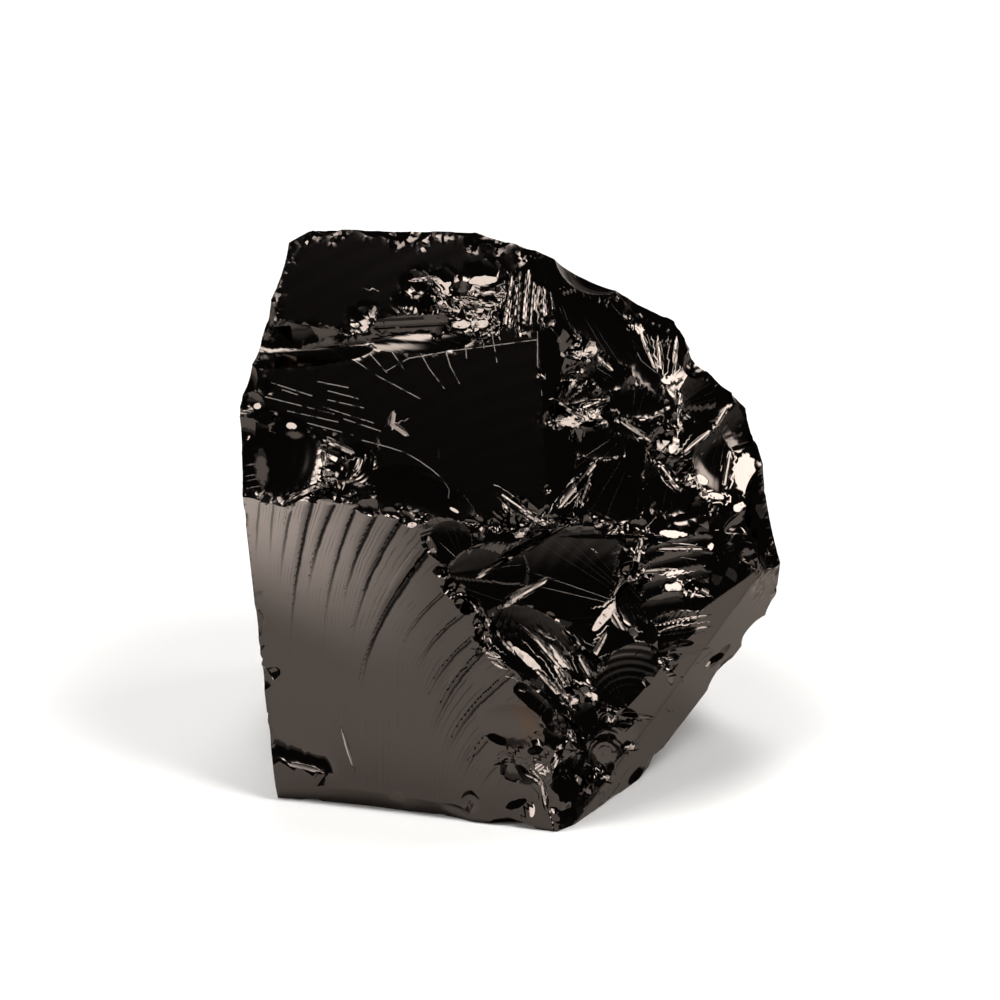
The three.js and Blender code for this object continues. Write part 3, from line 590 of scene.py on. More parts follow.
# Features of the front far smaller than the grid, by kind: bundles of fine hackles, chips, which are single
# flat flakes with a crisp outline, and swells, which fade out all round. Each row: across, up, half length,
# half width, turn (degrees), and the way its walls face.
BUNDLES = [
    # the cove, the cluster and the hatched patch under the crown
    (-10.4, 20.4, 4.2, 0.9, 3, TO_FLOOR), (-17.0, 18.6, 4.6, 0.40, 8, TO_FLOOR),
    (-16.2, 19.5, 0.8, 0.40, 20, TO_KEY), (-13.6, 21.6, 0.6, 0.5, 60, TO_KEY),
    (-5.4, 22.6, 1.8, 0.35, 4, TO_KEY), (-3.2, 22.5, 1.6, 0.5, -8, TO_KEY),
    (-4.2, 21.6, 2.2, 0.4, -12, TO_KEY), (-0.1, 22.4, 2.9, 0.9, 82, TO_SIDE),
    (1.7, 22.8, 2.8, 0.9, 86, TO_SIDE), (3.5, 22.4, 1.7, 0.8, 97, TO_SIDE),
    (-8.6, 24.9, 1.6, 0.3, 6, TO_KEY),
    # the left scoop and its neighbours
    (-20.3, 3.8, 2.1, 0.35, 27, TO_KEY), (-16.9, 8.3, 1.8, 0.40, -25, TO_KEY),
    (-18.3, 6.6, 1.4, 0.25, 92, TO_KEY), (-15.0, 6.2, 1.0, 0.45, 70, TO_KEY),
    (-11.6, 10.9, 0.9, 0.40, 80, TO_KEY), (-11.0, 10.0, 1.2, 0.35, -35, TO_KEY),
    (0.4, 2.6, 2.2, 0.7, -36, TO_SIDE), (2.4, 1.2, 1.6, 0.5, -30, TO_KEY),
    # the crumbled column right of the black face and the lip of the scoop below it
    (6.9, 18.3, 1.6, 0.3, 8, TO_KEY), (5.1, 12.6, 1.8, 0.30, 55, TO_KEY),
    (6.2, 11.5, 2.2, 0.8, -24, TO_KEY), (8.4, 12.5, 1.6, 0.6, 20, TO_SIDE),
    (8.2, 10.7, 2.2, 0.35, 4, TO_KEY), (9.2, 16.6, 1.2, 0.3, -40, TO_SIDE),
    (6.6, 4.5, 3.1, 0.75, 50, TO_KEY), (7.4, 3.6, 1.4, 0.5, 70, TO_KEY),
    # the cracked hollow, the flake and the bright scoop
    (14.9, 17.2, 2.0, 0.3, 96, TO_SIDE), (16.4, 17.4, 1.8, 0.25, 84, TO_SIDE),
    (13.8, 17.6, 2.2, 0.3, 112, TO_SIDE), (16.8, 12.0, 1.9, 0.25, 85, TO_SIDE),
    (12.9, 9.6, 2.6, 0.3, -32, TO_KEY), (15.8, 5.2, 1.8, 0.8, -52, TO_SIDE),
    (21.0, 11.3, 1.3, 0.3, 58, TO_SIDE), (18.4, 8.6, 2.0, 0.35, 40, TO_SIDE),
    (21.6, 5.8, 1.9, 0.7, 80, TO_SIDE), (17.6, 5.6, 1.8, 0.22, -58, TO_SIDE),
    # the bowl under the ridge
    (1.6, -1.6, 3.3, 0.55, 31, TO_STRIP), (-1.6, -3.6, 2.4, 0.45, 31, TO_KEY),
    (1.7, -5.9, 2.6, 0.50, 29, TO_KEY), (0.4, -6.9, 1.8, 0.25, 33, TO_KEY),
    (12.6, -2.6, 2.2, 0.4, 80, TO_KEY), (11.2, -5.4, 1.8, 0.45, 52, TO_KEY),
    (10.6, -8.6, 1.6, 0.7, -60, TO_KEY),
    # the ledges at the right
    (16.9, -1.9, 2.9, 0.30, 0, TO_SIDE), (14.6, -4.0, 2.2, 0.25, 4, TO_SIDE),
    (18.4, -5.6, 1.6, 0.7, -30, TO_SIDE), (17.0, -8.9, 2.9, 0.22, 10, TO_SIDE),
    (17.0, -10.0, 2.9, 0.22, 8, TO_SIDE), (17.0, -12.0, 1.9, 0.8, 12, TO_FLOOR),
    # the streaks
    (-2.6, -8.6, 2.6, 0.35, -48, TO_KEY), (-0.6, -11.0, 1.6, 0.40, -46, TO_KEY),
    (3.4, -14.6, 2.4, 0.45, -48, TO_KEY), (3.6, -11.8, 2.7, 0.55, -50, TO_KEY),
    (4.9, -12.4, 1.9, 0.45, -52, TO_KEY), (6.3, -11.0, 2.0, 0.60, -46, TO_KEY),
    (5.4, -15.0, 2.0, 0.50, -60, TO_KEY), (7.4, -13.4, 1.2, 0.50, -60, TO_KEY),
    (2.0, -10.2, 2.0, 0.35, -40, TO_KEY), (-2.0, -12.1, 1.2, 0.30, -24, TO_KEY),
    (-1.1, -13.3, 1.1, 0.28, -28, TO_KEY), (8.8, -11.4, 1.6, 0.35, 62, TO_KEY),
    (15.8, -14.2, 0.4, 1.40, 12, TO_KEY), (12.4, -18.4, 1.8, 0.30, -6, TO_KEY),
    (5.8, -19.4, 1.8, 0.5, -72, TO_KEY),
    # the low corner and the foot
    (4.6, -22.6, 1.6, 0.5, 70, TO_KEY), (1.6, -24.0, 1.4, 0.35, -38, TO_KEY),
    (9.4, -20.6, 1.8, 0.25, 8, TO_SIDE), (8.8, -24.4, 1.2, 0.6, -20, TO_SIDE),
    (11.8, -21.6, 0.7, 0.5, 0, TO_SIDE), (3.4, -26.0, 1.6, 0.4, -80, TO_KEY),
    (-20.6, -23.6, 1.9, 0.36, -14, TO_KEY), (-16.2, -21.6, 2.4, 0.22, -74, TO_KEY),
    (20.4, -13.0, 1.2, 0.4, 28, TO_SIDE),
]
CHIPS = [
    (-14.4, 20.4, 0.90, 0.50, 68, TO_KEY), (-13.4, 20.9, 0.40, 0.25, -60, TO_KEY),
    (-2.7, 24.7, 1.60, 0.50, 4, TO_KEY), (-7.3, 23.8, 0.60, 0.20, -60, TO_KEY),
    (-6.3, 24.0, 0.60, 0.16, -66, TO_KEY), (-4.8, 20.3, 1.00, 0.42, 2, TO_KEY),
    (-2.8, 20.4, 0.85, 0.42, 8, TO_KEY), (-21.6, 10.3, 0.60, 0.38, -8, TO_KEY),
    (-25.0, 12.3, 0.42, 0.36, 0, TO_KEY), (-17.4, 4.8, 0.45, 0.35, 0, TO_KEY),
    (-9.7, 0.5, 0.60, 0.30, 8, TO_KEY), (-5.5, 2.0, 0.60, 0.18, -28, TO_KEY),
    (-7.8, -1.4, 1.15, 0.42, -62, TO_STRIP), (6.9, 17.3, 0.90, 0.25, 14, TO_KEY),
    (5.9, 14.8, 0.90, 0.20, 4, TO_KEY), (8.4, 17.8, 0.40, 0.25, 80, TO_KEY),
    (5.7, 10.8, 0.80, 0.40, 20, TO_KEY), (4.6, 11.6, 0.60, 0.35, 60, TO_KEY),
    (15.8, 14.9, 0.95, 0.42, 0, TO_SIDE), (16.2, 8.3, 1.00, 0.45, 60, TO_SIDE),
    (12.9, 20.0, 0.35, 0.18, -20, TO_SIDE), (23.3, 5.7, 2.10, 1.20, 84, TO_SIDE),
    (20.4, 3.4, 0.90, 0.36, -12, TO_SIDE), (22.6, 2.2, 0.55, 0.45, 0, TO_SIDE),
    (19.0, 5.0, 0.8, 0.5, -40, TO_SIDE), (16.2, -0.4, 1.70, 0.42, -6, TO_SIDE),
    (16.2, -5.6, 0.95, 0.60, -6, TO_SIDE), (16.4, -4.2, 1.10, 0.18, 14, TO_SIDE),
    (9.3, -8.5, 2.10, 0.50, 51, TO_KEY), (1.8, -12.8, 2.20, 0.45, -41, TO_KEY),
    (5.0, -12.9, 1.00, 0.28, -50, TO_KEY), (3.2, -9.8, 0.90, 0.25, -38, TO_KEY),
    (0.9, -15.6, 0.80, 0.22, -30, TO_KEY), (6.8, -16.5, 1.10, 0.30, -8, TO_KEY),
    (8.8, -16.7, 1.50, 0.26, -36, TO_KEY), (9.7, -18.8, 0.60, 0.40, -30, TO_KEY),
    (7.2, -25.2, 1.50, 0.34, -50, TO_KEY), (2.9, -23.5, 0.55, 0.50, 0, TO_KEY),
    (2.2, -27.8, 0.80, 0.30, 84, TO_KEY), (7.8, -18.6, 1.10, 0.90, 60, TO_DARK),
    (5.3, -25.4, 1.70, 0.70, 88, TO_DARK), (-1.3, -20.7, 1.20, 0.50, -22, TO_DARK),
    (2.5, -21.8, 0.90, 0.50, 10, TO_DARK), (9.4, -0.6, 4.40, 0.26, 0, TO_DARK),
    (0.6, -27.2, 1.30, 0.50, 20, TO_DARK), (3.6, -18.6, 1.80, 0.50, -64, TO_DARK),
    (12.6, -24.6, 1.20, 0.50, 50, TO_DARK), (20.6, -12.8, 1.00, 0.40, 30, TO_DARK),
]
SWELLS = [
    (-24.6, 6.0, 3.40, 1.30, 96, TO_FLOOR), (-21.2, 9.4, 1.50, 0.60, -8, TO_FLOOR),
    (6.2, 16.4, 1.60, 0.60, 14, TO_FLOOR), (11.5, -20.4, 1.50, 1.30, 0, TO_FLOOR),
    (9.4, -22.3, 1.90, 1.70, 0, TO_FLOOR),
]


def small_marks(places):
    """Position in the nearest small feature, across and along; its half width, nearness, kind and facing.

    Across and along are distances from its middle line over its half width and half length. The nearest is
    the one where the root of the sum of their squares is least. Kind is 0 for bundles, 1 for chips and 2 for
    swells.
    """
    x, y = (places - MIDDLE) @ ACROSS, (places - MIDDLE) @ UPWARD
    kinds = enumerate((BUNDLES, CHIPS, SWELLS))
    features = np.array([row[:5] + (kind,) for kind, rows in kinds for row in rows])
    ways = np.array([facing(*row[5]) for row in BUNDLES + CHIPS + SWELLS])
    turn = np.radians(features[:, 4])
    off_x, off_y = x[:, None] - features[:, 0], y[:, None] - features[:, 1]
    along = (off_x * np.cos(turn) + off_y * np.sin(turn)) / features[:, 2]
    across = (off_y * np.cos(turn) - off_x * np.sin(turn)) / features[:, 3]
    away = np.hypot(along, across) + 0.3 * (features[:, 5] == 2) - 0.2 * (features[:, 5] == 1)
    nearest = away.argmin(1)
    every = np.arange(len(places))
    along, across, width = along[every, nearest], across[every, nearest], features[nearest, 3]
    near = 1 - smooth(1.8, 2.6, np.hypot(along, across) * width / (width + 0.25))
    return np.clip(across, -4, 4), np.clip(along, -4, 4), width, near, features[nearest, 5], ways[nearest]


# How the floor of a scar is marked: way to the blow as the viewer sees it (degrees, 0 is right, 90 up), its
# distance in half widths, then pitch and relief of the streaks and of the ripples, in millimetres.
# Scars that aren't listed have the plain one, with a way of their own.
PLAIN = (1.3, 0.6, 0.003, 1.0, 0.0015)
FINISH = {
    "cove under the crown, left": (170, 3.0, 0.30, 0.004, 1.0, 0.0),
    "cove under the crown, right": (175, 2.6, 0.30, 0.006, 1.0, 0.0),
    "dark shell over the cove": (180, 1.2, 0.5, 0.0, 0.5, 0.012),
    "hatched patch": (84, 4.0, 0.30, 0.012, 0.9, 0.006),
    "left scoop": (165, 1.1, 0.5, 0.0, 1.3, 0.006),
    "dark lens": (160, 1.4, 0.5, 0.0, 1.6, 0.002),
    "small shell": (150, 1.2, 0.5, 0.0, 0.5, 0.014),
    "column shell, top": (200, 1.2, 0.3, 0.012, 0.5, 0.008),
    "column shell, second": (200, 1.2, 0.3, 0.012, 0.5, 0.008),
    "rippled scoop": (58, 2.2, 0.6, 0.002, 0.50, 0.003),
    "smooth dark slope": (130, 2.0, 0.6, 0.002, 2.0, 0.006),
    "cracked hollow": (-74, 0.9, 0.8, 0.012, 1.0, 0.003),
    "dark facet, right": (200, 1.5, 0.5, 0.002, 1.5, 0.004),
    "bright scoop": (80, 2.4, 0.35, 0.003, 1.5, 0.002),
    "great bowl": (-15, 1.0, 0.8, 0.002, 1.5, 0.004),
    "streaky fan": (120, 2.4, 0.38, 0.008, 1.5, 0.0),
    "speckled hollow": (75, 3.0, 0.38, 0.026, 1.0, 0.0),
    "leaf shell, upper": (-20, 0.8, 0.4, 0.002, 0.45, 0.005),
    "leaf shell, lower": (-20, 0.8, 0.4, 0.002, 0.45, 0.005),
    "hatched flat": (70, 3.0, 0.38, 0.026, 1.0, 0.0),
    "rippled bowl": (-90, 0.75, 0.5, 0.002, 0.75, 0.008),
    "smooth shell on the fan": (-60, 1.2, 0.5, 0.0, 0.9, 0.004),
    "low scoop, ringed": (0, 0.0, 0.5, 0.0, 0.55, 0.010),
    "low block, dark": (0, 3.0, 0.5, 0.0, 0.6, 0.024),
}


def blow_marks(places, makers, hollows):
    """Ripples and streaks of each scar: a coordinate in whole marks and the relief, for both.

    Ripples are rings round the spot where the blow fell, streaks run straight away from it, so one
    coordinate is the distance from it over the pitch and the other the angle round it, scaled to give the
    pitch at the middle of the scar. Flat fractures carry faint ripples from a corner of the lump.
    """
    names = [row[0] for _, _, rows in SCARS for row in rows]
    rows = [FINISH.get(name, (360 * spread(i, 0.618, 0.3),) + PLAIN) for i, name in enumerate(names)]
    rows += [(0, 1.3, 1.0, 0.0, 1.0, 0.0)] * (len(hollows) - len(names))
    faces = [(0, 0, 1.0, 0.0, 2.2, 0.0012)] * len(FACES)
    blows = [MIDDLE + ACROSS * 14 - UPWARD * 30] * len(FACES)
    spans = [1.0] * len(FACES)
    for scar, (turn, distance, *_) in zip(hollows, rows):
        way = ACROSS * math.cos(radians(turn)) + UPWARD * math.sin(radians(turn))
        way = unit(way - scar["opens"] * (way @ scar["opens"]))
        spans.append(max(distance, 0.3) * scar["half_width"])
        blows.append(scar["place"] + way * distance * scar["half_width"])
    axes = np.concatenate([NORMALS, np.array([scar["opens"] for scar in hollows])])[makers]
    _, _, streak_pitch, streak_relief, ripple_pitch, ripple_relief = np.array(faces + rows)[makers].T
    away = places - np.array(blows)[makers]
    level = unit(np.cross(axes, [0.1, 0.2, 1.0]))
    along, across = (away * level).sum(1), (away * np.cross(axes, level)).sum(1)
    ripple = np.hypot(along, across) / ripple_pitch
    streak = np.arctan2(across, along) * np.array(spans)[makers] / streak_pitch
    return ripple, ripple_relief, streak, streak_relief


def corner_points(places, normals):
    """One point per grid cell: the point nearest all four tangent planes at its corners.

    Least squares, with a light pull to the cell's mean so that flat cells stay put, and never further
    from the mean than the cell is wide.
    """
    cells = [np.roll(a, -s, axis=1)[r:r + RINGS] for a in (places, normals) for r in (0, 1) for s in (0, 1)]
    spots, ways = np.stack(cells[:4], 2), np.stack(cells[4:], 2)
    mean = spots.mean(2)
    pull = 0.06
    matrix = np.einsum("abki,abkj->abij", ways, ways) + pull * np.eye(3)
    gap = np.einsum("abki,abki->abk", ways, spots - mean[:, :, None])
    shift = np.linalg.solve(matrix, np.einsum("abki,abk->abi", ways, gap)[..., None])[..., 0]
    size = np.linalg.norm(spots.max(2) - spots.min(2), axis=2)
    length = np.linalg.norm(shift, axis=2)
    shift *= np.minimum(1, 0.6 * size / np.maximum(length, 1e-9))[..., None]
    return mean + shift


def stone_mesh(hollows):
    directions = grid_directions(ring_angles(), SPOKES)
    places, normals, _ = places_and_normals(directions.reshape(-1, 3), hollows)
    shape = directions.shape
    points = corner_points(places.reshape(shape), normals.reshape(shape))
    turns = ridge_strength(places.reshape(shape), normals.reshape(shape))
    turns = np.maximum(turns[1:], turns[:-1])
    turns = np.maximum(turns, np.roll(turns, -1, axis=1))
    points[..., 2] = np.maximum(points[..., 2], 0)
    near_pole, far_pole = places.reshape(shape)[0, 0], places.reshape(shape)[-1, 0]
    vertices = np.concatenate([points.reshape(-1, 3), [near_pole, far_pole]])
    number = np.arange(RINGS * SPOKES).reshape(RINGS, SPOKES)
    beside = np.roll(number, -1, axis=1)
    quads = np.stack([number[:-1], number[1:], beside[1:], beside[:-1]], -1).reshape(-1, 4)
    last = RINGS * SPOKES
    front_cap = np.stack([np.full(SPOKES, last), number[0], beside[0]], -1)
    back_cap = np.stack([np.full(SPOKES, last + 1), beside[-1], number[-1]], -1)
    mesh = bpy.data.meshes.new("shungite_lump")
    loops = np.concatenate([quads.ravel(), front_cap.ravel(), back_cap.ravel()])
    sizes = np.concatenate([np.full(len(quads), 4), np.full(2 * SPOKES, 3)])
    mesh.vertices.add(len(vertices))
    mesh.vertices.foreach_set("co", (vertices * MM).ravel())
    mesh.loops.add(len(loops))
    mesh.loops.foreach_set("vertex_index", loops)
    mesh.polygons.add(len(sizes))
    mesh.polygons.foreach_set("loop_start", np.concatenate([[0], np.cumsum(sizes)[:-1]]))
    mesh.update(calc_edges=True)
    mesh.validate()
    mesh.shade_smooth()
    mesh.set_sharp_from_angle(angle=radians(28))
    add_marks(mesh, vertices, turns, hollows)
    return mesh


# Rim at the left foot of the fan, where the face curls back: its left end, across and up (mm), and its fall.
RIM = (-22.5, -23.3)
RIM_FALL = 0.25


def foot_roll(x, y):
    """How far the fan has curled back towards the light above the rim at its left foot, from 0 to 1.

    A faint brushed roll starts 5.4 mm above the rim, and from 2.7 mm it grows as the square of the way down.
    Dips at even spots break the lit rim into beads.
    """
    above = y - RIM[1] + RIM_FALL * (x - RIM[0])
    brushed = above + 0.30 * np.sin(7.3 * x) + 0.22 * np.sin(17.1 * x + 1) + 1.6 * smooth(-23.0, -20.5, x)
    roll = 0.24 * smooth(5.4, 2.4, brushed) + 0.76 * np.clip((2.7 - above) / 2.3, 0, 1) ** 2
    beads = 1 - 0.16 * smooth(0.6, 0.95, np.sin(4.2 * x))
    return roll * (above > -0.1) * smooth(-16.9, -18.8, x) * beads


# Fractures and scars that are crazed all over, and smooth ones that show their cracks.
CRAZED = ["front right of fan", "right front", "toe", "hollow in the right outline", "facet at the band top"]
SMOOTH = ["black face", "dark lens", "cracked hollow", "smooth dark slope", "right slope"]

# How far to the right the toe is crazed, and the middle of the small brown-stained shell on the fan (mm).
CRAZED_TOE = 10.5
SHELL = (0.4, -19.4)


def add_marks(mesh, vertices, turns, hollows):
    """Per-point marks that the finish reads: hackles, ripples, streaks, ridges, rubble, stain, painted sheen
    and painted shade.
    """
    _, makers = reach(unit(vertices - MIDDLE), hollows)
    x, y = (vertices - MIDDLE) @ ACROSS, (vertices - MIDDLE) @ UPWARD
    on_fan = makers == NAMES.index("fan face")
    hackle, gap, depth = hackle_marks(vertices)
    ripple, ripple_relief, streak, streak_relief = blow_marks(vertices, makers, hollows)
    grid = makers[:-2].reshape(RINGS, SPOKES)
    same = np.ones(grid.shape, bool)
    for axis, step in ((0, 1), (0, -1), (1, 1), (1, -1)):
        same &= np.roll(grid, step, axis) == grid
    settled = np.concatenate([same.ravel(), [True, True]])
    shell_x, shell_y = SHELL
    shell = 1 - smooth(0.5, 1.0, np.hypot((x - shell_x) / 3.4, (y - shell_y) / 2.9))
    # Painted sheen: the fan's colour is lightened towards its upper left, standing in for a brighter
    # reflection there.
    lit = smooth(-10, 3, y + 0.5 * (x + 24)) * smooth(-6, -26, x)
    across, along, width, near, kind, way = small_marks(vertices)
    opens = np.array([scar["opens"] for scar in hollows])
    near *= np.concatenate([NORMALS, opens])[makers] @ BACKWARD > 0.05
    names = np.array(NAMES + [row[0] for _, _, rows in SCARS for row in rows] + [""] * len(hollows))[makers]
    broken = np.isin(names, CRAZED) & ((x < CRAZED_TOE) | (names != "toe"))
    marks = {
        "small_across": across, "small_along": along, "small_width": width, "small": near,
        "small_kind": kind,
        "broken": 1.0 * broken, "roll": foot_roll(x, y) * on_fan,
        # Painted shade: the right band's colour is darkened, more so higher up, to dim its reflection.
        "painted_band_shade": smooth(-22, -2, y) * (makers == NAMES.index("right band")),
        "hackle": hackle, "hackle_gap": gap, "hackle_depth": depth * on_fan * settled, "fan": 1.0 * on_fan,
        "ripple": ripple, "ripple_relief": ripple_relief * settled,
        "streak": streak, "streak_relief": streak_relief * settled,
        "ridge": smooth(0.35, 0.9, np.concatenate([turns.ravel(), [0, 0]])),
        "rubble": rubble_share(vertices),
        "smooth_face": 1.0 * np.isin(names, SMOOTH),
        "stain": shell * (y < 0), "painted_sheen": lit * on_fan,
    }
    for name, values in marks.items():
        layer = mesh.attributes.new(name, "FLOAT", "POINT")
        layer.data.foreach_set("value", np.asarray(values, dtype=np.float32))
    layer = mesh.attributes.new("small_way", "FLOAT_VECTOR", "POINT")
    layer.data.foreach_set("vector", np.asarray(way, dtype=np.float32).ravel())


# Thin cracks and scratches of the black face: the corners of each, across and up, in millimetres.
CRACKS = [
    [(-9.1, 19.3), (-8.9, 17.6), (-8.0, 16.0), (-6.5, 14.0)],
    [(-6.3, 19.3), (-6.3, 17.5), (-5.9, 16.2), (-5.0, 14.5)],
    [(-5.3, 19.3), (-5.3, 18.0)],
    [(-4.5, 19.4), (-4.3, 17.0)],
    [(-2.6, 19.5), (-2.6, 18.0)],
    [(-1.8, 19.5), (-1.3, 16.6)],
    [(2.7, 19.6), (2.7, 16.2), (3.1, 15.8)],
    [(-12.3, 15.7), (-10.0, 17.0), (-6.0, 17.7), (-2.0, 18.2), (2.6, 18.8)],
    [(-15.5, 16.9), (-13.0, 15.2), (-11.5, 14.4), (-8.9, 13.0)],
    [(-13.8, 17.4), (-12.2, 15.6)],
    [(-11.7, 17.7), (-10.4, 15.8)],
    [(4.0, 20.0), (4.6, 19.3), (5.0, 18.7)],
    [(-14.6, 8.9), (-12.0, 8.2), (-10.4, 7.7), (-9.0, 6.9), (-7.6, 5.9), (-6.6, 5.0), (-6.0, 4.0),
     (-6.1, 3.2)],
    [(15.2, 15.5), (14.2, 17.5), (13.6, 19.4)],
    [(15.5, 15.5), (15.0, 18.4)],
    [(16.1, 15.5), (16.4, 18.8)],
    [(14.9, 15.3), (13.0, 16.8), (12.3, 18.2)],
]
SCRATCHES = [
    [(-19.0, 14.7), (-16.0, 14.1)],
    [(-18.0, 13.8), (-15.0, 13.0)],
    [(-18.0, 12.9), (-14.5, 12.1)],
    [(-18.5, 12.2), (-13.5, 10.6)],
    [(-22.5, 13.9), (-21.0, 13.4)],
    [(-22.0, 11.8), (-17.0, 10.7)],
    [(-20.0, 10.6), (-15.5, 9.4)],
    [(-24.2, 13.2), (-21.0, 12.4), (-17.4, 11.5)],
    [(-23.6, 14.6), (-19.6, 13.3)],
    [(-16.4, 11.0), (-12.8, 9.8)],
]


def linear(code):
    """An sRGB hex colour as linear red, green, blue and alpha 1."""
    parts = [int(code[i:i + 2], 16) / 255 for i in (1, 3, 5)]
    return [p / 12.92 if p <= 0.04045 else ((p + 0.055) / 1.055) ** 2.4 for p in parts] + [1.0]


def node(tree, kind, inputs=(), **settings):
    """Adds a node, sets what is given, and fills its inputs with values or other nodes' outputs."""
    made = tree.nodes.new(kind)
    for name, value in settings.items():
        setattr(made, name, value)
    for key, value in dict(inputs).items():
        if isinstance(value, bpy.types.NodeSocket):
            tree.links.new(value, made.inputs[key])
        else:
            made.inputs[key].default_value = value
    return made


def glassy_shungite():
    """Shungite of the glassy kind, as it breaks: natural carbon with a half-metallic lustre.

    It scatters next to nothing, so its colour is how much it mirrors, about a twentieth and a little more of
    the red: each fracture shows the room behind the viewer like a dark mirror. Hackles, ripples and streaks
    are relief of some hundredths of a millimetre; on broken ridges each grain faces its own way and glints.
    """
    material = bpy.data.materials.new("glassy_shungite")
    material.use_nodes = True
    tree = material.node_tree
    tree.nodes.clear()

    def mark(name):
        return node(tree, "ShaderNodeAttribute", attribute_name=name).outputs["Fac"]

    def sums(kind, *values, **settings):
        return node(tree, "ShaderNodeMath", dict(enumerate(values)), operation=kind, **settings).outputs[0]

    def vector(kind, *values, output="Vector"):
        return node(tree, "ShaderNodeVectorMath", dict(enumerate(values)), operation=kind).outputs[output]

    def band(value, low, high, start=0.0, end=1.0):
        """Start below low, end above high, an even S between."""
        return node(tree, "ShaderNodeMapRange", {"Value": value, "From Min": low, "From Max": high,
                                                 "To Min": start, "To Max": end},
                    interpolation_type="SMOOTHSTEP").outputs[0]

    def noise(coordinate, scale):
        settings = {"Vector": coordinate, "Scale": scale, "Detail": 2.0}
        return node(tree, "ShaderNodeTexNoise", settings).outputs["Fac"]

    def scaled(ways, amount):
        return node(tree, "ShaderNodeVectorMath", {0: ways, "Scale": amount}, operation="SCALE").outputs[0]

    def toward(normal, aim, share):
        """A normal turned towards an aim by a share from 0 to 1."""
        return vector("ADD", normal, scaled(vector("SUBTRACT", aim, normal), share))

    def teeth(coordinate):
        """Saw teeth of uneven width, about one to each unit, each sloping its own way."""
        cells = node(tree, "ShaderNodeTexVoronoi", {"W": coordinate, "Scale": 1.0}, voronoi_dimensions="1D")
        slope = node(tree, "ShaderNodeSeparateColor", {0: cells.outputs["Color"]})
        tilt = sums("SUBTRACT", slope.outputs[0], 0.4)
        return sums("MULTIPLY", sums("SUBTRACT", coordinate, cells.outputs["W"]), tilt)

    def nearness(flat, lines, width):
        """1 on any of a set of bent lines, as the viewer sees them, falling to 0 at half a width away."""
        nearest = None
        for start, end in [pair for line in lines for pair in zip(line, line[1:])]:
            run = np.subtract(end, start)
            off = vector("SUBTRACT", flat, (*start, 0))
            along = vector("DOT_PRODUCT", off, (*(run / (run @ run)), 0), output="Value")
            share = sums("MULTIPLY", along, 1.0, use_clamp=True)
            shares = node(tree, "ShaderNodeCombineXYZ", {0: share, 1: share}).outputs[0]
            foot = vector("MULTIPLY", (*run, 0), shares)
            gap = vector("DISTANCE", off, foot, output="Value")
            nearest = gap if nearest is None else sums("MINIMUM", nearest, gap)
        return band(nearest, width * 0.15, width * 0.5, 1.0, 0.0)

    place = node(tree, "ShaderNodeTexCoord").outputs["Object"]
    across = vector("DOT_PRODUCT", place, tuple(ACROSS / MM), output="Value")
    height = vector("DOT_PRODUCT", place, tuple(UPWARD / MM), output="Value")
    upward = sums("SUBTRACT", height, MIDDLE @ UPWARD)
    flat = node(tree, "ShaderNodeCombineXYZ", {0: across, 1: upward}).outputs[0]
    grain = noise(place, 900.0)
    wander = sums("MULTIPLY", sums("SUBTRACT", grain, 0.5), 0.10)

    # Hackles: beside each line the face rolls away into a cleft, wider where the step is deeper. Between them
    # finer ones, about every 0.3 mm. The cleft, the roll and the fine lines are painted shade, darkening the
    # colour on the fan; only the saw teeth are relief.
    hackle = sums("ADD", mark("hackle"), wander)
    depth = mark("hackle_depth")
    side = sums("MULTIPLY", sums("SUBTRACT", hackle, sums("ROUND", hackle)), mark("hackle_gap"))
    cleft = band(sums("ABSOLUTE", side), sums("MULTIPLY_ADD", depth, 0.15, 0.02),
                 sums("MULTIPLY_ADD", depth, 0.6, 0.08), 1.0, 0.0)
    cleft = sums("MULTIPLY", cleft, band(depth, 0.0, 0.4))
    rolled = sums("MULTIPLY", band(side, sums("MULTIPLY", depth, -2.4), 0.0), sums("LESS_THAN", side, 0.0))
    rolled = sums("MULTIPLY", rolled, band(depth, 0.15, 0.6, 0.0, 0.9))
    fine_cells = node(tree, "ShaderNodeTexVoronoi", {"W": sums("MULTIPLY", hackle, 5.0), "Scale": 1.0},
                      voronoi_dimensions="1D", feature="DISTANCE_TO_EDGE").outputs["Distance"]
    patchy = band(noise(place, 260.0), 0.42, 0.62)
    fine = sums("MULTIPLY", sums("MULTIPLY", band(fine_cells, 0.03, 0.14, 1.0, 0.0), patchy),
                sums("MULTIPLY_ADD", band(depth, 0.0, 0.3), 0.45, 0.15))
    dark = sums("MAXIMUM", sums("MAXIMUM", cleft, rolled), fine)
    dark = sums("MULTIPLY", sums("MULTIPLY", dark, 0.96), mark("fan"))
    hackles = sums("MULTIPLY", teeth(sums("MULTIPLY", hackle, 6.0)), sums("MULTIPLY", depth, 0.10))

    # Ripples are even waves, streaks saw teeth.
    waves = sums("SINE", sums("MULTIPLY", sums("ADD", mark("ripple"), wander), 2 * math.pi))
    ripples = sums("MULTIPLY", waves, mark("ripple_relief"))
    streak = teeth(sums("ADD", mark("streak"), wander))
    streaks = sums("MULTIPLY", sums("MULTIPLY", streak, 8.0), mark("streak_relief"))
    relief = sums("ADD", sums("ADD", ripples, streaks), hackles)

    # Broken ridges: grains of about 0.4 mm, each turned its own way, thickest in the rubble.
    cells = node(tree, "ShaderNodeTexVoronoi", {"Vector": place, "Scale": 2500.0})
    turned = vector("SUBTRACT", cells.outputs["Color"], (0.5, 0.5, 0.5))
    ragged = sums("MULTIPLY", mark("ridge"), band(noise(place, 420.0), 0.38, 0.6))
    share = sums("MULTIPLY_ADD", mark("rubble"), 0.12, sums("MULTIPLY", ragged, 0.25))
    tilt = node(tree, "ShaderNodeVectorMath", {0: turned, "Scale": share}, operation="SCALE").outputs[0]

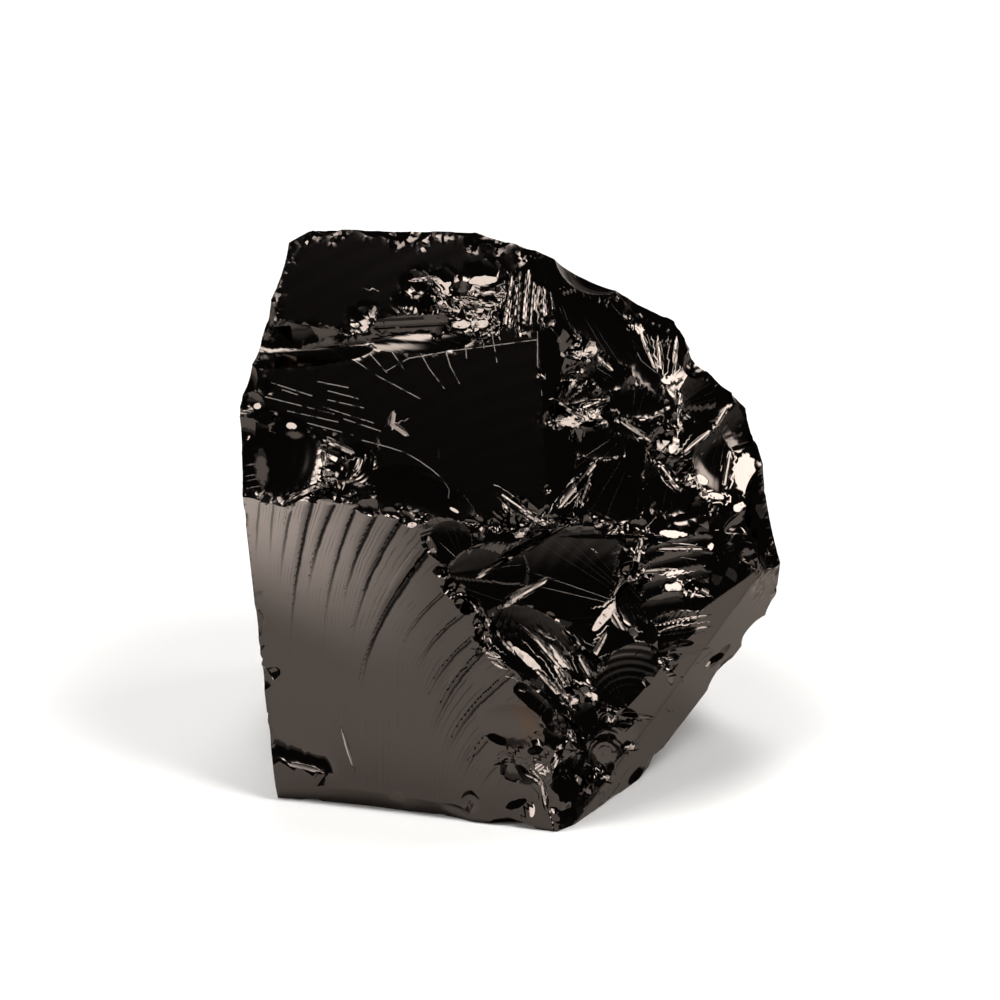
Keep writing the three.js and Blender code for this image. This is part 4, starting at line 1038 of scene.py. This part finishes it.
    # Where nothing larger broke off the front it is crazed into facets of about a millimetre.
    facets = node(tree, "ShaderNodeTexVoronoi", {"Vector": place, "Scale": 800.0})
    facet_way = scaled(vector("SUBTRACT", facets.outputs["Color"], (0.5, 0.5, 0.5)), 0.5)
    crazed = toward(node(tree, "ShaderNodeNewGeometry").outputs["Normal"],
                    vector("ADD", tuple(facing(4, 28)), facet_way), mark("broken"))

    # Small features. Bundles split into strands about a sixth of a millimetre wide, each a little turned from
    # the next and ending at its own place; chips are whole; swells fade from their middle outwards. The foot
    # of the fan curls back towards the side soft box.
    small_across, kind = mark("small_across"), mark("small_kind")
    off_middle = sums("MULTIPLY", small_across, mark("small_width"))
    strands = {"W": sums("MULTIPLY_ADD", off_middle, 6.0, sums("MULTIPLY", wander, 6.0)), "Scale": 1.0}
    strand = node(tree, "ShaderNodeTexVoronoi", strands, voronoi_dimensions="1D").outputs["Color"]
    stranded = sums("LESS_THAN", kind, 0.5)
    strand_way = scaled(vector("SUBTRACT", strand, (0.5, 0.5, 0.5)), sums("MULTIPLY", stranded, 0.42))
    end = sums("MULTIPLY", sums("SUBTRACT", vector("LENGTH", strand, output="Value"), 0.95), stranded)
    lengthened = sums("ADD", mark("small_along"), end)
    spot = node(tree, "ShaderNodeCombineXYZ", {0: small_across, 1: lengthened}).outputs[0]
    rough = sums("MULTIPLY", sums("SUBTRACT", noise(place, 1500.0), 0.5), 0.6)
    outlying = sums("ADD", vector("LENGTH", spot, output="Value"), rough)
    inner = sums("SUBTRACT", 0.8, sums("MULTIPLY", sums("GREATER_THAN", kind, 1.5), 0.7))
    featured = sums("MULTIPLY", band(outlying, inner, 1.0, 1.0, 0.0), mark("small"))
    small_way = node(tree, "ShaderNodeAttribute", attribute_name="small_way").outputs["Vector"]
    rolled_back = toward(crazed, tuple(facing(*TO_SIDE)), mark("roll"))
    hackled = toward(rolled_back, vector("ADD", small_way, strand_way), featured)
    bump = node(tree, "ShaderNodeBump", {"Height": relief, "Distance": MM, "Strength": 1.0,
                                         "Normal": vector("NORMALIZE", vector("ADD", hackled, tilt))})

    # Cracks scatter light from their own broken walls, so they show as thin pale lines on the black face.
    scratched = sums("MULTIPLY", nearness(flat, SCRATCHES, 0.16), band(noise(place, 900.0), 0.3, 0.55))
    cracked = sums("MULTIPLY", nearness(flat, CRACKS, 0.15), band(noise(place, 700.0), 0.3, 0.55))
    cracked = sums("MAXIMUM", cracked, scratched)
    cracked = sums("MULTIPLY", sums("MULTIPLY", cracked, 0.5), mark("smooth_face"))

    # Painted sheen lightens the upper left of the fan, the stain is brown, painted shade darkens the right
    # band higher up, and painted shade makes the clefts and thin fine lines almost black.
    colour = linear("#443e3a")
    for share, code in ((mark("painted_sheen"), "#8b817b"), (sums("MULTIPLY", mark("stain"), patchy), "#4b3e35"),
                        (mark("painted_band_shade"), "#312c29"), (dark, "#0d0c0b"), (cracked, "#8e8781")):
        mixed = {"Factor": share, 6: colour, 7: linear(code)}
        colour = node(tree, "ShaderNodeMix", mixed, data_type="RGBA").outputs[2]
    shader = node(tree, "ShaderNodeBsdfPrincipled", {
        "Base Color": colour, "Metallic": 1.0, "Specular Tint": linear("#cbc6c2"),
        "Roughness": sums("MULTIPLY_ADD", cracked, 0.6, 0.09), "Normal": bump.outputs[0],
    })
    node(tree, "ShaderNodeOutputMaterial", {"Surface": shader.outputs[0]})
    return material


hollows = placed_hollows() + rubble_hollows() + edge_hollows()
hollows += crumb_hollows(hollows)
stone = bpy.data.objects.new("shungite_lump", stone_mesh(hollows))
bpy.context.scene.collection.objects.link(stone)
stone.data.materials.append(glassy_shungite())
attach(stone, "root")
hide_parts("shungite")


# Studio: a pale matt floor, soft boxes out of sight, and a room that is pale low down and dark overhead.
def matt_paper():
    """Matt backdrop paper: nearly white, no gloss."""
    material = bpy.data.materials.new("matt_paper")
    material.use_nodes = True
    shader = material.node_tree.nodes["Principled BSDF"]
    shader.inputs["Base Color"].default_value = linear("#f4f2f0")
    shader.inputs["Roughness"].default_value = 0.9
    return material


def rectangle(name, half_width, half_height, material):
    """A flat rectangle in its own XY plane, facing +Z."""
    mesh = bpy.data.meshes.new(name)
    corners = [(-half_width, -half_height, 0), (half_width, -half_height, 0), (half_width, half_height, 0),
               (-half_width, half_height, 0)]
    mesh.from_pydata(corners, [], [(0, 1, 2, 3)])
    sheet = bpy.data.objects.new(name, mesh)
    bpy.context.scene.collection.objects.link(sheet)
    sheet.data.materials.append(material)
    return sheet


def diffuser(name, half_width, half_height, radiance):
    """The cloth of a soft box: brightest in the middle and falling off to its edges."""
    material = bpy.data.materials.new(name)
    material.use_nodes = True
    tree = material.node_tree
    tree.nodes.clear()
    place = node(tree, "ShaderNodeSeparateXYZ", {0: node(tree, "ShaderNodeTexCoord").outputs["Object"]})
    edges = []
    for axis, half in (("X", half_width), ("Y", half_height)):
        away = node(tree, "ShaderNodeMath", {0: place.outputs[axis]}, operation="ABSOLUTE").outputs[0]
        limits = {"Value": away, "From Min": half * 0.35, "From Max": half, "To Min": 1.0, "To Max": 0.0}
        fall = node(tree, "ShaderNodeMapRange", limits, interpolation_type="SMOOTHSTEP")
        edges.append(fall.outputs[0])
    both = node(tree, "ShaderNodeMath", {0: edges[0], 1: edges[1]}, operation="MULTIPLY")
    power = node(tree, "ShaderNodeMath", {0: both.outputs[0], 1: radiance}, operation="MULTIPLY")
    light = node(tree, "ShaderNodeEmission", {"Strength": power.outputs[0]})
    node(tree, "ShaderNodeOutputMaterial", {"Surface": light.outputs[0]})
    return material


def soft_box(name, bearing, rise, width, height, radiance):
    """A soft box square on to the lump, seen by its light and in reflections alone."""
    box = rectangle(name, width / 2, height / 2, diffuser(name + "_cloth", width / 2, height / 2, radiance))
    way = facing(bearing, rise)
    box.location = (MIDDLE * MM + way * BOX_DISTANCE).tolist()
    box.rotation_euler = Vector((-way).tolist()).to_track_quat("Z", "Y").to_euler()
    box.visible_camera = False
    return box


# Soft boxes: bearing and rise (degrees), width and height (m), radiance. All are as far from the lump (m).
BOX_DISTANCE = 0.8
BOXES = {
    "key_box": (-45, 68, 0.42, 0.42, 14),
    "side_box": (56, 58, 0.34, 0.40, 20),
    "back_box": (170, 72, 0.50, 0.36, 10),
    "strip_box": (-62, 28, 0.20, 0.20, 20),
    "edge_box": (105, 22, 0.26, 0.50, 9),
}
FLOOR_HALF = 3.0
rectangle("floor", FLOOR_HALF, FLOOR_HALF, matt_paper())
for box_name, settings in BOXES.items():
    soft_box(box_name, *settings)


def dim_room():
    """Room light by height: pale near the floor, falling to near black above about 14 degrees."""
    world = bpy.data.worlds.new("dim_room")
    bpy.context.scene.world = world
    world.use_nodes = True
    tree = world.node_tree
    way = node(tree, "ShaderNodeTexCoord").outputs["Generated"]
    height = node(tree, "ShaderNodeSeparateXYZ", {0: way}).outputs["Z"]
    limits = {"Value": height, "From Min": -0.02, "From Max": 0.24, "To Min": 0.45, "To Max": 0.03}
    share = node(tree, "ShaderNodeMapRange", limits, interpolation_type="SMOOTHSTEP")
    tree.links.new(share.outputs[0], tree.nodes["Background"].inputs["Strength"])
    tree.nodes["Background"].inputs["Color"].default_value = (1, 1, 1, 1)


dim_room()

# The camera: lens and sensor, and how wide its view is at the lump, in millimetres.
LENS = 430.0
SENSOR = 36.0
FRAME_WIDTH = 100.0
camera_data = bpy.data.cameras.new("camera")
camera_data.lens = LENS
camera_data.sensor_width = SENSOR
camera = bpy.data.objects.new("camera", camera_data)
bpy.context.scene.collection.objects.link(camera)
# Its axis passes 1 mm to the left of the lump's middle and 3 mm above it.
aim = MIDDLE - ACROSS * 1.0 + UPWARD * 3.0
camera.location = ((aim + BACKWARD * FRAME_WIDTH * LENS / SENSOR) * MM).tolist()
camera.rotation_euler = Vector(BACKWARD.tolist()).to_track_quat("Z", "Y").to_euler()
bpy.context.scene.camera = camera
bpy.context.scene.view_settings.view_transform = "Standard"
